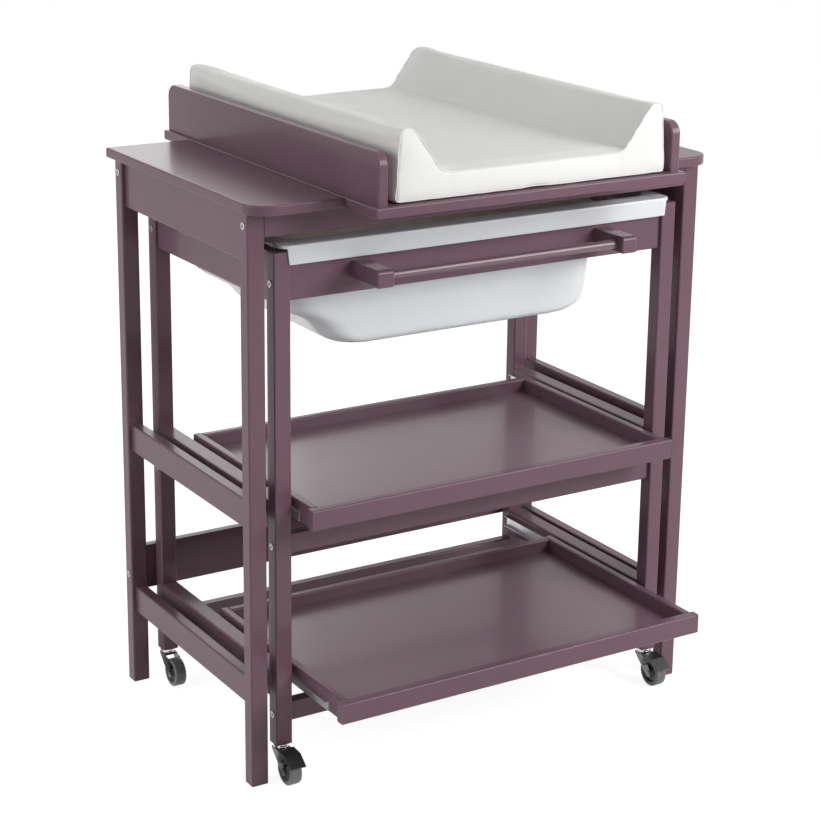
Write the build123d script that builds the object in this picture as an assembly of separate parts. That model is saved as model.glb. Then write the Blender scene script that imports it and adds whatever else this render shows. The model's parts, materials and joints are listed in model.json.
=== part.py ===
from build123d import *
import math
import os

# Changing table with a bath trolley rolled in under it.
# All sizes are in millimetres. X runs to the right, Y to the back, Z up, and the front is -Y.
# The sizes below are stated about the middle of the table's four legs, and the finished
# model is set down with its origin on the floor, midway between its foremost and hindmost faces.

# Sizes shared by all wooden pieces
board = 20.0
edge_round = 3.0
foot_round_share = 0.35
joint_clearance = 0.1
overrun = 5.0
soft_gap = 0.3

# Outer table
table_width = 864.0
table_depth = 484.0
table_leg_x = 30.0
table_leg_y = 26.0
table_leg_top = 950.0
table_apron_inset = 7.0
table_apron_height = 78.0
table_middle_rail_low = 437.0
table_middle_rail_height = 49.0
table_low_rail_low = 135.0
table_low_rail_height = 48.0
table_cross_rail_height = 39.0
table_cross_recess = 0.5
table_back_rail_low = 173.5
table_back_rail_height = 81.0
table_back_rail_thickness = 18.0
table_back_rail_recess = 2.0

# Top boards of the table, one at each side of the tray
top_thickness = 17.0
top_side_overhang = 4.0
top_left_width = 155.5
top_right_width = 131.5
top_front_overhang = 31.0
top_back_overhang = 25.0
top_corner_radius = 38.0

# Changing tray that lies on the front and back rails, level with the top boards
tray_gap = 0.5
tray_base_thickness = 17.0
tray_front_overhang = 93.0
tray_back_overhang = 104.0
tray_side_thickness = 18.0
tray_side_height = 82.0
tray_side_inset = 8.0
tray_side_front_setback = 9.0
tray_side_back_setback = 3.0
tray_side_corner = 22.0

# Changing mat
mat_left_gap = 14.0
mat_right_gap = 6.0
mat_front_setback = 11.0
mat_back_setback = 11.0
mat_flat_height = 43.0
mat_crown = 3.0
mat_wedge_height = 113.0
mat_left_wedge_top = 24.0
mat_right_wedge_top = 25.0
mat_left_wedge_run = 50.0
mat_right_wedge_run = 50.0
mat_side_lean = 8.0
mat_side_bulge = 2.5
mat_slope_sag = 2.5
mat_top_swell = 4.5
mat_valley = 8.0
mat_front_edge = 6.0
mat_back_edge = 10.0
mat_floor_share = 0.35
mat_toe_share = 0.33
mat_toe_rise_share = 0.17

# Bath trolley
trolley_side_gap = 15.5
trolley_back_gap = 8.0
trolley_headroom = 65.0
trolley_leg_x = 29.0
trolley_leg_y = 27.0
trolley_apron_inset = 6.0
trolley_side_apron_height = 83.0
trolley_rail_height = 48.0
trolley_middle_rail_low = 432.0
trolley_low_rail_low = 142.0
trolley_end_apron_drop = 19.0
trolley_end_apron_height = 60.0
trolley_end_apron_recess = 6.0
trolley_cross_recess = 7.0
trolley_cross_height = 35.0
trolley_middle_cross_drop = 43.0
trolley_low_cross_drop = 44.0

# Handle on the trolley's front apron
handle_span = 436.0
handle_block_width = 30.0
handle_block_height = 28.0
handle_block_length = 82.0
handle_block_drop = 28.0
handle_front_round = 7.0
handle_rod_diameter = 15.0
handle_rod_setback = 20.0
handle_rod_depth = 12.0

# Barrel bolts in the legs' outer faces
bolt_head_diameter = 12.0
bolt_head_height = 1.5
bolt_head_round = 0.8
bolt_shank_diameter = 6.0
bolt_length = 56.0
bolt_socket = 5.0
bolt_socket_depth = 1.2
bolt_clearance = 0.25
table_back_bolt_z = 205.0
trolley_apron_bolt_drop = 50.0
trolley_cross_bolt_drop = 19.0

# Bathtub
tub_flange_rise = 10.0
tub_flange_thickness = 5.0
tub_flange_inset = 11.5
tub_flange_front = 3.0
tub_flange_back = 3.0
tub_flange_corner = 18.0
tub_depth = 195.0
tub_wall = 3.5
tub_end_gap = 5.5
tub_side_gap = 7.0
tub_corner = 45.0
tub_lip_end_gap = 1.5
tub_lip_draft = 3.0
tub_lip_flare = 6.0
tub_lip_drop = 30.5
tub_lip_thickness = 2.9
tub_rib_thickness = 4.0
tub_rim_round = 2.0
deck_length = 89.0
deck_drop = 23.0
deck_corner = 30.0
soap_inset = 50.0
soap_length = 110.0
soap_width = 66.0
soap_depth = 10.0
soap_corner = 26.0
soap_back_share = 0.30
soap_taper = 8.0

# Bath plug in its socket on the deck
plug_inset = 34.0
plug_front_share = 0.518
plug_dome_diameter = 28.0
plug_dome_height = 10.0
plug_shank_diameter = 20.0
plug_shank_length = 8.0
plug_play = 0.25
plug_edge_share = 0.2

# Pull-out shelves
shelf_back_gap = 23.0
shelf_height = 34.5
shelf_fascia_gap = 4.5
shelf_fascia_thickness = 18.0
shelf_rim_gap = 9.5
shelf_rim_thickness = 15.0
shelf_panel_thickness = 8.0
shelf_panel_drop = 22.0
shelf_groove = 5.0
middle_shelf_lift = 15.5
middle_shelf_reach = 61.0
bottom_shelf_lift = 16.0
bottom_shelf_reach = 156.0

# Runners of the shelves
runner_front_play = 36.0
runner_height = 20.0
runner_sheet = 1.0
runner_flange = 6.5
runner_back_play = 20.0
slide_drop = 0.6
slide_flange = 6.5
slide_front_play = 53.0
roller_width = 5.0
roller_diameter = 15.0
roller_pin_diameter = 5.0
roller_gap = 0.3
roller_setback = 10.0

# Casters
caster_headroom = 12.0
wheel_diameter = 50.0
wheel_width = 20.0
wheel_tread = 6.0
wheel_hub_width = 14.0
wheel_round = 2.0
hub_boss_share = 0.35
caster_trail = 30.0
axle_diameter = 6.0
axle_clearance = 0.05
axle_head = 1.2
axle_head_diameter = 10.0
fork_gap = 0.8
fork_sheet = 1.6
fork_top_sheet = 3.0
fork_back = 13.0
fork_front = 12.0
fork_boss_radius = 8.0
fork_lobe_drop = 4.0
fork_corner_share = 0.7
collar_diameter = 24.0
collar_height = 8.0
collar_gap = 0.3
collar_round = 1.5
stem_diameter = 10.0
stem_length = 35.0
kingpin_diameter = 8.0
kingpin_head_diameter = 14.0
kingpin_head_height = 2.0

# Brake pedals on the front casters
pedal_sheet = 1.5
pedal_gap = 0.3
pedal_pivot_setback = 10.0
pedal_pivot_drop = 8.0
pedal_pin_diameter = 4.0
pedal_pin_head = 0.4
pedal_thickness = 3.0
pedal_start_setback = 13.0
pedal_bend_reach = 11.0
pedal_toe_reach = 30.0
pedal_back_rise = 6.5
pedal_bend_rise = 5.0
pedal_toe_drop = 10.0
pedal_ear_radius = 6.0

# Heights and places that follow from the sizes above
table_half = table_width / 2
table_front = -table_depth / 2
table_back = table_depth / 2
table_leg_inner = table_half - table_leg_x
top_low = table_leg_top
tray_top = top_low + tray_base_thickness
tray_front = table_front - top_front_overhang - tray_front_overhang
tray_back = table_back + top_back_overhang + tray_back_overhang
tray_left = -table_half - top_side_overhang + top_left_width + tray_gap
tray_right = table_half + top_side_overhang - top_right_width - tray_gap
mat_left = tray_left + tray_side_inset + tray_side_thickness + mat_left_gap
mat_right = tray_right - tray_side_inset - tray_side_thickness - mat_right_gap
trolley_half = table_leg_inner - trolley_side_gap
trolley_front = table_front
trolley_back = table_back - table_back_rail_recess - table_back_rail_thickness - trolley_back_gap
trolley_depth = trolley_back - trolley_front
trolley_leg_inner = trolley_half - trolley_leg_x
trolley_leg_bottom = wheel_diameter + caster_headroom
trolley_leg_top = table_leg_top - trolley_headroom
trolley_middle_y = (trolley_front + trolley_back) / 2
trolley_end_apron_low = trolley_leg_top - trolley_end_apron_drop - trolley_end_apron_height
trolley_middle_cross_low = trolley_middle_rail_low - trolley_middle_cross_drop
trolley_low_cross_low = trolley_low_rail_low - trolley_low_cross_drop
handle_block_low = trolley_leg_top - handle_block_drop - handle_block_height
tub_flange_top = trolley_leg_top + tub_flange_rise
tub_under = tub_flange_top - tub_flange_thickness
tub_floor_z = tub_flange_top - tub_depth
tub_reach = trolley_leg_inner - tub_end_gap
tub_half_depth = trolley_depth / 2 - trolley_end_apron_recess - board - tub_side_gap
basin_right = tub_reach - deck_length
deck_top = tub_flange_top - deck_drop
soap_x = tub_reach - soap_inset
plug_x = tub_reach - plug_inset
plug_y = trolley_middle_y - tub_half_depth * plug_front_share
shelf_depth = trolley_depth - shelf_back_gap
middle_shelf_low = trolley_middle_rail_low + middle_shelf_lift
bottom_shelf_low = trolley_low_rail_low + bottom_shelf_lift
slide_length = shelf_depth - slide_front_play
axle_z = wheel_diameter / 2
depth_origin = (min(tray_front, trolley_front - bottom_shelf_reach) + tray_back) / 2


# Small tools

def slab(x_lo, x_hi, y_lo, y_hi, z_lo, z_hi):
    """Block between the given faces."""
    block = Box(x_hi - x_lo, y_hi - y_lo, z_hi - z_lo)
    return Pos((x_lo + x_hi) / 2, (y_lo + y_hi) / 2, (z_lo + z_hi) / 2) * block


def wood_round(*walls):
    """Edge rounding, held below the thinnest wall that carries it."""
    thinnest_share = 0.3
    return min(edge_round, thinnest_share * min(walls))


def bar(x_lo, x_hi, y_lo, y_hi, z_lo, z_hi, along):
    """Wooden bar whose long edges are softened."""
    block = slab(x_lo, x_hi, y_lo, y_hi, z_lo, z_hi)
    walls = {Axis.X: (y_hi - y_lo, z_hi - z_lo), Axis.Y: (x_hi - x_lo, z_hi - z_lo),
             Axis.Z: (x_hi - x_lo, y_hi - y_lo)}
    return fillet(block.edges().filter_by(along), wood_round(*walls[along]))


def leg_post(x_lo, x_hi, y_lo, y_hi, z_lo, z_hi):
    """Wooden leg whose long edges are softened and whose foot has a fine edge."""
    post = slab(x_lo, x_hi, y_lo, y_hi, z_lo, z_hi)
    softness = wood_round(x_hi - x_lo, y_hi - y_lo)
    post = fillet(post.edges().filter_by(Axis.Z), softness)
    return fillet(post.edges().group_by(Axis.Z)[0], softness * foot_round_share)


def rod(x, y, z, diameter, length, along):
    """Round bar that starts at the point and runs along the given direction."""
    plane = Plane(origin=(x, y, z), z_dir=along)
    return plane * Cylinder(diameter / 2, length, align=(Align.CENTER, Align.CENTER, Align.MIN))


def mirrored(shape):
    """The same shape on the other side of the middle plane."""
    return shape.mirror(Plane.YZ)


def both_sides(shape):
    """A shape and its mirror image, for a node of separate solids."""
    return [shape, mirrored(shape)]


# Bolts

def bolt(side, y, z, face_x):
    """Barrel bolt with a hexagon socket, driven into a leg's outer face."""
    head = rod(side * face_x, y, z, bolt_head_diameter, bolt_head_height, (side, 0, 0))
    rim = head.faces().sort_by(Axis.X)[-1 if side > 0 else 0].edges()
    head = fillet(rim, bolt_head_round)
    shank = rod(side * face_x, y, z, bolt_shank_diameter, bolt_length, (-side, 0, 0))
    mouth = Plane(origin=(side * (face_x + bolt_head_height), y, z), z_dir=(-side, 0, 0))
    socket = extrude(mouth * RegularPolygon(bolt_socket / math.sqrt(3), 6), bolt_socket_depth)
    return head + shank - socket


def bolt_holes(y, z, face_x):
    """Clearance holes for the pair of bolts at one height, left and right."""
    holes = []
    for side in (-1, 1):
        start = side * (face_x + overrun)
        length = bolt_length + bolt_clearance + overrun
        width = bolt_shank_diameter + bolt_clearance * 2
        holes.append(rod(start, y, z, width, length, (-side, 0, 0)))
    return holes


def drilled(shape, places, face_x):
    """A wooden piece with the holes of all bolts that cross it."""
    for y, z in places:
        for hole in bolt_holes(y, z, face_x):
            shape = shape - hole
    return shape


table_leg_mid_y = table_back - table_leg_y / 2
table_bolt_z = table_leg_top - table_cross_rail_height / 2
table_bolt_places = [(-table_leg_mid_y, table_bolt_z), (table_leg_mid_y, table_bolt_z),
                     (table_leg_mid_y, table_back_bolt_z)]
trolley_bolt_levels = (
    trolley_leg_top - trolley_apron_bolt_drop,
    trolley_middle_cross_low + trolley_cross_height - trolley_cross_bolt_drop,
    trolley_low_cross_low + trolley_cross_height - trolley_cross_bolt_drop)
trolley_bolt_rows = (trolley_front + trolley_leg_y / 2, trolley_back - trolley_leg_y / 2)
trolley_bolt_places = [(y, z) for y in trolley_bolt_rows for z in trolley_bolt_levels]


# Outer table

def table_nodes():
    """Legs, rails, top boards and bolts of the fixed table."""
    nodes = {}
    lay_front = table_front + table_leg_y
    lay_back = table_back - table_leg_y
    for row, y_lo in (("front", table_front), ("back", lay_back)):
        leg = leg_post(table_leg_inner, table_half, y_lo, y_lo + table_leg_y, 0, table_leg_top)
        for side, shape in (("left", mirrored(leg)), ("right", leg)):
            nodes[f"table_leg_{row}_{side}"] = drilled(shape, table_bolt_places, table_half)
    outer = table_half - table_apron_inset
    heights = {"apron": (table_leg_top - table_apron_height, table_apron_height),
               "middle_rail": (table_middle_rail_low, table_middle_rail_height),
               "low_rail": (table_low_rail_low, table_low_rail_height)}
    for name, (low, height) in heights.items():
        rail = bar(outer - board, outer, lay_front, lay_back, low, low + height, Axis.Y)
        nodes[f"table_{name}_left"] = mirrored(rail)
        nodes[f"table_{name}_right"] = rail
    low = table_leg_top - table_cross_rail_height
    front = table_front + table_cross_recess
    back = table_back - table_cross_recess
    rails = {"front_rail": (front, front + board, low, table_leg_top),
             "back_rail": (back - board, back, low, table_leg_top)}
    back -= table_back_rail_recess - table_cross_recess
    rails["back_low_rail"] = (back - table_back_rail_thickness, back, table_back_rail_low,
                              table_back_rail_low + table_back_rail_height)
    for name, (y_lo, y_hi, z_lo, z_hi) in rails.items():
        rail = bar(-table_leg_inner, table_leg_inner, y_lo, y_hi, z_lo, z_hi, Axis.X)
        nodes[f"table_{name}"] = drilled(rail, table_bolt_places, table_half)
    half = table_half + top_side_overhang
    nodes["table_top"] = [top_board(-half, top_left_width - half), top_board(half, half - top_right_width)]
    bolts = [bolt(side, y, z, table_half) for side in (-1, 1) for y, z in table_bolt_places]
    nodes["table_bolts"] = bolts
    return nodes


def top_board(outer, inner):
    """Top board beside the tray, with its outer front corner well rounded."""
    y_lo = table_front - top_front_overhang
    y_hi = table_back + top_back_overhang
    plate = slab(min(outer, inner), max(outer, inner), y_lo, y_hi, top_low, top_low + top_thickness)
    corner = plate.edges().filter_by(Axis.Z).group_by(Axis.Y)[0].sort_by(Axis.X)[0 if outer < inner else -1]
    plate = fillet(corner, top_corner_radius)
    rims = plate.faces().sort_by(Axis.Z)
    return fillet(rims[0].edges() + rims[-1].edges(), wood_round(top_thickness))


# Changing tray

def tray_nodes():
    """Base board and two side boards of the changing tray."""
    base = slab(tray_left, tray_right, tray_front, tray_back, top_low, tray_top)
    nodes = {"tray_base": fillet(base.edges(), wood_round(tray_base_thickness))}
    for name, side, edge in (("left", -1, tray_left), ("right", 1, tray_right)):
        outer = edge - side * tray_side_inset
        inner = outer - side * tray_side_thickness
        wall = slab(min(outer, inner), max(outer, inner), tray_front + tray_side_front_setback,
                    tray_back - tray_side_back_setback, tray_top, tray_top + tray_side_height)
        upper = wall.edges().filter_by(Axis.X).group_by(Axis.Z)[-1]
        wall = fillet(upper, min(tray_side_corner, tray_side_height / 2))
        faces = wall.faces().sort_by(Axis.X)
        outline = faces[0].edges() + faces[-1].edges()
        edges = [edge for edge in outline if edge.center().Z > tray_top + joint_clearance]
        nodes[f"tray_side_{name}"] = fillet(edges, wood_round(tray_side_thickness))
    return nodes


# Changing mat

def mat_outline(y, draw, crown):
    """Cross section of the mat at one place along it, drawn in on all sides by the given amount."""
    low = tray_top + soft_gap
    left = mat_left + draw
    right = mat_right - draw
    floor = low + draw * mat_floor_share
    flat = low + mat_flat_height - draw
    peak = low + mat_wedge_height - draw
    top_left = left + mat_side_lean
    top_right = right - mat_side_lean
    crest_left = top_left + mat_left_wedge_top
    crest_right = top_right - mat_right_wedge_top
    foot_left = crest_left + mat_left_wedge_run
    foot_right = crest_right - mat_right_wedge_run
    foot = flat + mat_valley / 2
    mid_z = (floor + peak) / 2
    slope_z = (peak + foot) / 2 + mat_slope_sag
    toe = mat_valley * mat_toe_share
    toe_z = flat + mat_valley * mat_toe_rise_share
    flat_left = foot_left + mat_valley
    flat_right = foot_right - mat_valley
    corners = [(left, floor), (top_left, peak), (crest_left, peak), (foot_left, foot),
               (flat_left, flat), (flat_right, flat),
               (foot_right, foot), (crest_right, peak), (top_right, peak), (right, floor)]
    swells = [((left + top_left) / 2 - mat_side_bulge, mid_z),
              ((top_left + crest_left) / 2, peak + mat_top_swell),
              ((crest_left + foot_left) / 2 + mat_slope_sag, slope_z),
              (foot_left + toe, toe_z),
              ((left + right) / 2, flat + crown),
              (foot_right - toe, toe_z),
              ((crest_right + foot_right) / 2 - mat_slope_sag, slope_z),
              ((top_right + crest_right) / 2, peak + mat_top_swell),
              ((right + top_right) / 2 + mat_side_bulge, mid_z)]
    edges = []
    for start, swell, end in zip(corners, swells, corners[1:]):
        edges.append(ThreePointArc(*[(x, y, z) for x, z in (start, swell, end)]))
    edges.append(Line((right, y, floor), (left, y, floor)))
    return Face(Wire(edges))


mat_station_shares = (
    ("front", 0.0, 1.0, 0.0), ("front", 0.35, 0.3, 0.2), ("front", 1.0, 0.0, 0.5),
    ("middle", 0.3, 0.0, 1.0), ("middle", 0.7, 0.0, 1.0),
    ("back", 1.0, 0.0, 0.5), ("back", 0.45, 0.28, 0.2), ("back", 0.0, 1.0, 0.0))


def changing_mat():
    """Padded mat with a wedge along each side, a crowned middle and drawn-in ends."""
    front = tray_front + mat_front_setback
    back = tray_back - mat_back_setback
    sections = []
    for end, place_share, draw_share, crown_share in mat_station_shares:
        if end == "front":
            y = front + mat_front_edge * place_share
            draw = mat_front_edge * draw_share
        elif end == "back":
            y = back - mat_back_edge * place_share
            draw = mat_back_edge * draw_share
        else:
            y = front + (back - front) * place_share
            draw = 0
        sections.append(mat_outline(y, draw, mat_crown * (1 + crown_share)))
    return loft(sections, ruled=True)


# Trolley frame

def trolley_nodes():
    """Legs, aprons, rails, bolts and runner channels of the bath trolley."""
    nodes = {}
    lay_front = trolley_front + trolley_leg_y
    lay_back = trolley_back - trolley_leg_y
    for row, y_lo in (("front", trolley_front), ("back", lay_back)):
        leg = bar(trolley_leg_inner, trolley_half, y_lo, y_lo + trolley_leg_y, trolley_leg_bottom,
                  trolley_leg_top, Axis.Z)
        leg -= stem_hole(trolley_half - trolley_leg_x / 2, y_lo + trolley_leg_y / 2)
        for side, shape in (("left", mirrored(leg)), ("right", leg)):
            nodes[f"trolley_leg_{row}_{side}"] = drilled(shape, trolley_bolt_places, trolley_half)
    outer = trolley_half - trolley_apron_inset
    apron_low = trolley_leg_top - trolley_side_apron_height
    rails = {"apron": (outer - board, outer, apron_low, trolley_leg_top)}
    for name, low in (("middle_rail", trolley_middle_rail_low), ("low_rail", trolley_low_rail_low)):
        rails[name] = (trolley_leg_inner, trolley_half, low, low + trolley_rail_height)
    for name, (x_lo, x_hi, z_lo, z_hi) in rails.items():
        rail = bar(x_lo, x_hi, lay_front, lay_back, z_lo, z_hi, Axis.Y)
        nodes[f"trolley_{name}_left"] = mirrored(rail)
        nodes[f"trolley_{name}_right"] = rail
    levels = {"apron": (trolley_end_apron_recess, trolley_end_apron_low, trolley_end_apron_height),
              "middle_rail": (trolley_cross_recess, trolley_middle_cross_low, trolley_cross_height),
              "low_rail": (trolley_cross_recess, trolley_low_cross_low, trolley_cross_height)}
    for name, (recess, low, height) in levels.items():
        for row, y_lo in (("front", trolley_front + recess), ("back", trolley_back - recess - board)):
            rail = bar(-trolley_leg_inner, trolley_leg_inner, y_lo, y_lo + board, low, low + height,
                       Axis.X)
            nodes[f"trolley_{row}_{name}"] = drilled(rail, trolley_bolt_places, trolley_half)
    bolts = [bolt(side, y, z, trolley_half) for side in (-1, 1) for y, z in trolley_bolt_places]
    nodes["trolley_bolts"] = bolts
    nodes["runner_channels"] = runner_channels()
    return nodes


def handle_nodes():
    """Two wooden blocks on the front apron and the round rod let into them."""
    face = trolley_front + trolley_end_apron_recess
    x_hi = handle_span / 2 + handle_block_width
    tip = face - handle_block_length
    high = handle_block_low + handle_block_height
    block = slab(handle_span / 2, x_hi, tip, face, handle_block_low, high)
    nose = block.edges().filter_by(Axis.X).group_by(Axis.Y)[0]
    block = fillet(nose.sort_by(Axis.Z)[-1], handle_front_round)
    edges = [e for e in block.edges() if e.center().Y < face - joint_clearance]
    block = fillet(edges, wood_round(handle_block_height))
    rod_y = tip + handle_rod_setback
    rod_z = handle_block_low + handle_block_height / 2
    bore = rod(0, rod_y, rod_z, handle_rod_diameter + joint_clearance * 2,
               handle_span / 2 + handle_rod_depth + joint_clearance, (1, 0, 0))
    half = handle_span / 2 + handle_rod_depth
    bar_round = rod(-half, rod_y, rod_z, handle_rod_diameter, half * 2, (1, 0, 0))
    return {"handle_blocks": both_sides(block - bore), "handle_rod": bar_round}


# Shelf runners

def roller(x, y, z, web_x):
    """Nylon roller on a pin that stands on the given web, both in one piece."""
    outward = math.copysign(1, web_x - x)
    wheel = rod(x - outward * roller_width / 2, y, z, roller_diameter, roller_width, (outward, 0, 0))
    pin = rod(x, y, z, roller_pin_diameter, abs(web_x - x), (outward, 0, 0))
    return wheel + pin


runner_web = trolley_leg_inner - runner_sheet
rim_outer = trolley_leg_inner - shelf_rim_gap
slide_web = rim_outer + runner_sheet
roller_x = (slide_web + runner_web) / 2
runner_back = trolley_back - runner_back_play
runner_front = trolley_front + runner_front_play


def runner_channel(low):
    """Fixed channel on the inner face of the right-hand side, with its front roller."""
    high = low + runner_height
    web = slab(runner_web, trolley_leg_inner, runner_front, runner_back, low, high)
    reach = runner_web - runner_flange
    floor = slab(reach, runner_web, runner_front, runner_back, low, low + runner_sheet)
    roof = slab(reach, runner_web, runner_front, runner_back, high - runner_sheet, high)
    slide_under = high - runner_sheet * 2 - slide_drop
    centre_z = slide_under - roller_gap - roller_diameter / 2
    wheel = roller(roller_x, runner_front + roller_setback, centre_z, runner_web)
    return web + floor + roof + wheel


def runner_channels():
    """The four fixed channels of the trolley."""
    channels = []
    for low in (middle_shelf_low, bottom_shelf_low):
        channel = runner_channel(low)
        channels += both_sides(channel)
    return channels


def shelf_slides(low, shelf_back):
    """The pair of moving members that are screwed to a shelf's rims."""
    high = low + runner_height - runner_sheet - slide_drop
    base = low + runner_sheet + roller_gap
    y_lo = shelf_back - slide_length
    web = slab(rim_outer, slide_web, y_lo, shelf_back, base, high)
    lip = slab(slide_web, slide_web + slide_flange, y_lo, shelf_back, high - runner_sheet, high)
    wheel = roller(roller_x, shelf_back - roller_setback, base + roller_diameter / 2, slide_web)
    return both_sides(web + lip + wheel)


# Shelves

def shelf_nodes(name, low, reach):
    """One pull-out shelf: fascia, rims, back rim, thin panel and slides."""
    front = trolley_front - reach
    back = front + shelf_depth
    high = low + shelf_height
    fascia_half = trolley_leg_inner - shelf_fascia_gap
    fascia_back = front + shelf_fascia_thickness
    fascia = bar(-fascia_half, fascia_half, front, fascia_back, low, high, Axis.X)
    rim_inner = rim_outer - shelf_rim_thickness
    rim = bar(rim_inner, rim_outer, fascia_back, back, low, high, Axis.Y)
    end = bar(-rim_inner, rim_inner, back - shelf_rim_thickness, back, low, high, Axis.X)
    panel_top = high - shelf_panel_drop
    panel_low = panel_top - shelf_panel_thickness
    wide = rim_inner + shelf_groove
    panel_front = fascia_back - shelf_groove
    panel_back = back - shelf_rim_thickness + shelf_groove
    panel = slab(-wide, wide, panel_front, panel_back, panel_low, panel_top)
    pocket = slab(-wide - joint_clearance, wide + joint_clearance, panel_front - joint_clearance,
                  panel_back + joint_clearance, panel_low - joint_clearance, panel_top + joint_clearance)
    sides = both_sides(rim - pocket) + [end - pocket]
    return {f"{name}_panel": panel, f"{name}_rims": sides, f"{name}_fascia": fascia - pocket,
            f"{name}_slides": shelf_slides(low, back)}


# Bathtub

# Height, left, right and depth of the basin's outer wall, from the floor up
basin_shares = (
    (0.000, 0.619, 0.747, 0.835), (0.030, 0.685, 0.863, 0.905), (0.095, 0.742, 0.950, 0.925),
    (0.195, 0.790, 0.975, 0.930), (0.290, 0.862, 0.980, 0.936), (0.385, 0.951, 0.982, 0.942),
    (0.905, 0.997, 0.996, 0.995), (1.000, 1.000, 1.000, 1.000))


def basin(inset):
    """Basin's solid body, drawn in by the given amount for its hollow."""
    floor = tub_floor_z + inset
    sections = []
    for height, left, right, depth in basin_shares:
        x_lo = inset - tub_reach * left
        x_hi = basin_right * right - inset
        half = tub_half_depth * depth - inset
        plane = Plane.XY.offset(floor + (tub_under - floor) * height)
        outline = RectangleRounded(x_hi - x_lo, half * 2, tub_corner - inset)
        sections.append(plane * Pos((x_lo + x_hi) / 2, trolley_middle_y) * outline)
    return loft(sections, ruled=True)


def rounded_block(x_lo, x_hi, half, corner, z_lo, z_hi):
    """Upright block with rounded corners, centred on the trolley's depth."""
    shape = Pos((x_lo + x_hi) / 2, trolley_middle_y) * RectangleRounded(x_hi - x_lo, half * 2, corner)
    return extrude(Plane.XY.offset(z_lo) * shape, z_hi - z_lo)


def soap_dish(grow, low, high):
    """Tapered oval that forms the soap recess, seen from above."""
    y = trolley_middle_y + tub_half_depth * soap_back_share
    sections = []
    for z, shrink in ((low, soap_taper), (high, 0)):
        spread = grow * 2 - shrink
        outline = RectangleRounded(soap_width + spread, soap_length + spread, soap_corner + spread / 2)
        sections.append(Plane.XY.offset(z) * Pos(soap_x, y) * outline)
    return loft(sections, ruled=True)


def tub_lip(y_lo):
    """Front lip with slanted ends that flare out into the flange."""
    half = trolley_leg_inner - tub_lip_end_gap
    wide = half + tub_lip_draft
    flared = wide + tub_lip_flare
    low = tub_flange_top - tub_lip_drop
    high = tub_under + tub_flange_thickness / 2
    right = [(half, low), (wide, tub_under - tub_lip_flare), (flared, tub_under), (flared, high)]
    left = [(-x, z) for x, z in reversed(right)]
    plane = Plane(origin=(0, y_lo + tub_lip_thickness, 0), x_dir=(1, 0, 0), z_dir=(0, -1, 0))
    return extrude(plane * Polygon(*right, *left, align=None), tub_lip_thickness)


def bathtub():
    """Tub with sloped left end, a deck at the right end, flange, front lip and support ribs."""
    y_lo = trolley_front - tub_flange_front
    y_hi = trolley_back + tub_flange_back
    wide = (trolley_half - tub_flange_inset) * 2
    sheet = Pos(0, (y_lo + y_hi) / 2) * RectangleRounded(wide, y_hi - y_lo, tub_flange_corner)
    flange = extrude(Plane.XY.offset(tub_under) * sheet, tub_flange_thickness)
    flange = fillet(flange.faces().sort_by(Axis.Z)[-1].edges(), tub_rim_round)
    deck_low = deck_top - tub_wall
    deck_left = basin_right - tub_corner
    body = flange + tub_lip(y_lo) + basin(0)
    body += rounded_block(deck_left, tub_reach, tub_half_depth, deck_corner, deck_low, tub_under)
    body += soap_dish(tub_wall, deck_low - soap_depth, deck_top)
    cup_diameter = plug_shank_diameter + plug_play * 2 + tub_wall * 2
    cup_low = deck_top - plug_shank_length - plug_play - tub_wall
    body += rod(plug_x, plug_y, cup_low, cup_diameter, deck_top - cup_low, (0, 0, 1))
    rib_x = trolley_half - trolley_apron_inset - board / 2
    for side in (-1, 1):
        body += slab(side * rib_x - tub_rib_thickness / 2, side * rib_x + tub_rib_thickness / 2,
                     trolley_front + trolley_leg_y, trolley_back - trolley_leg_y, trolley_leg_top,
                     tub_under)
    body -= basin(tub_wall)
    inner = tub_half_depth - tub_wall
    above = tub_flange_top + overrun
    body -= rounded_block(tub_wall - tub_reach, basin_right - tub_wall, inner, tub_corner - tub_wall,
                          tub_under, above)
    body -= rounded_block(deck_left, tub_reach - tub_wall, inner, deck_corner - tub_wall, deck_top, above)
    body -= soap_dish(0, deck_top - soap_depth, deck_top + overrun)
    socket_low = deck_top - plug_shank_length - plug_play
    socket_diameter = plug_shank_diameter + plug_play * 2
    return body - rod(plug_x, plug_y, socket_low, socket_diameter, above - socket_low, (0, 0, 1))


def bath_plug():
    """Plug with a low dome, parked in its socket on the deck."""
    foot = deck_top - plug_shank_length
    shank = rod(plug_x, plug_y, foot, plug_shank_diameter, plug_shank_length, (0, 0, 1))
    radius = plug_dome_diameter / 2
    rise = plug_dome_height
    edge = plug_dome_height * plug_edge_share
    ball = (radius ** 2 + (rise - edge) ** 2) / (rise - edge) / 2
    cap = Pos(plug_x, plug_y, deck_top + rise - ball) * Sphere(ball)
    stock = rod(plug_x, plug_y, deck_top, plug_dome_diameter, rise, (0, 0, 1))
    return (cap & stock) + shank


# Casters

def caster_places():
    """Pivot of each caster, under the middle of its leg."""
    x = trolley_half - trolley_leg_x / 2
    front = trolley_front + trolley_leg_y / 2
    back = trolley_back - trolley_leg_y / 2
    return {"front_left": (-x, front), "front_right": (x, front),
            "back_left": (-x, back), "back_right": (x, back)}


def stem_hole(x, y):
    """Hole in a leg's end for the caster's stem."""
    length = overrun + stem_length + joint_clearance
    return rod(x, y, trolley_leg_bottom - overrun, stem_diameter + joint_clearance * 2, length, (0, 0, 1))


pedal_pivot_y = pedal_pivot_setback - caster_trail
pedal_pivot_z = wheel_diameter - pedal_pivot_drop
fork_top = trolley_leg_bottom - collar_height - collar_gap
fork_under = fork_top - fork_top_sheet
cheek_inner = wheel_width / 2 + fork_gap
cheek_outer = cheek_inner + fork_sheet


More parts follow.
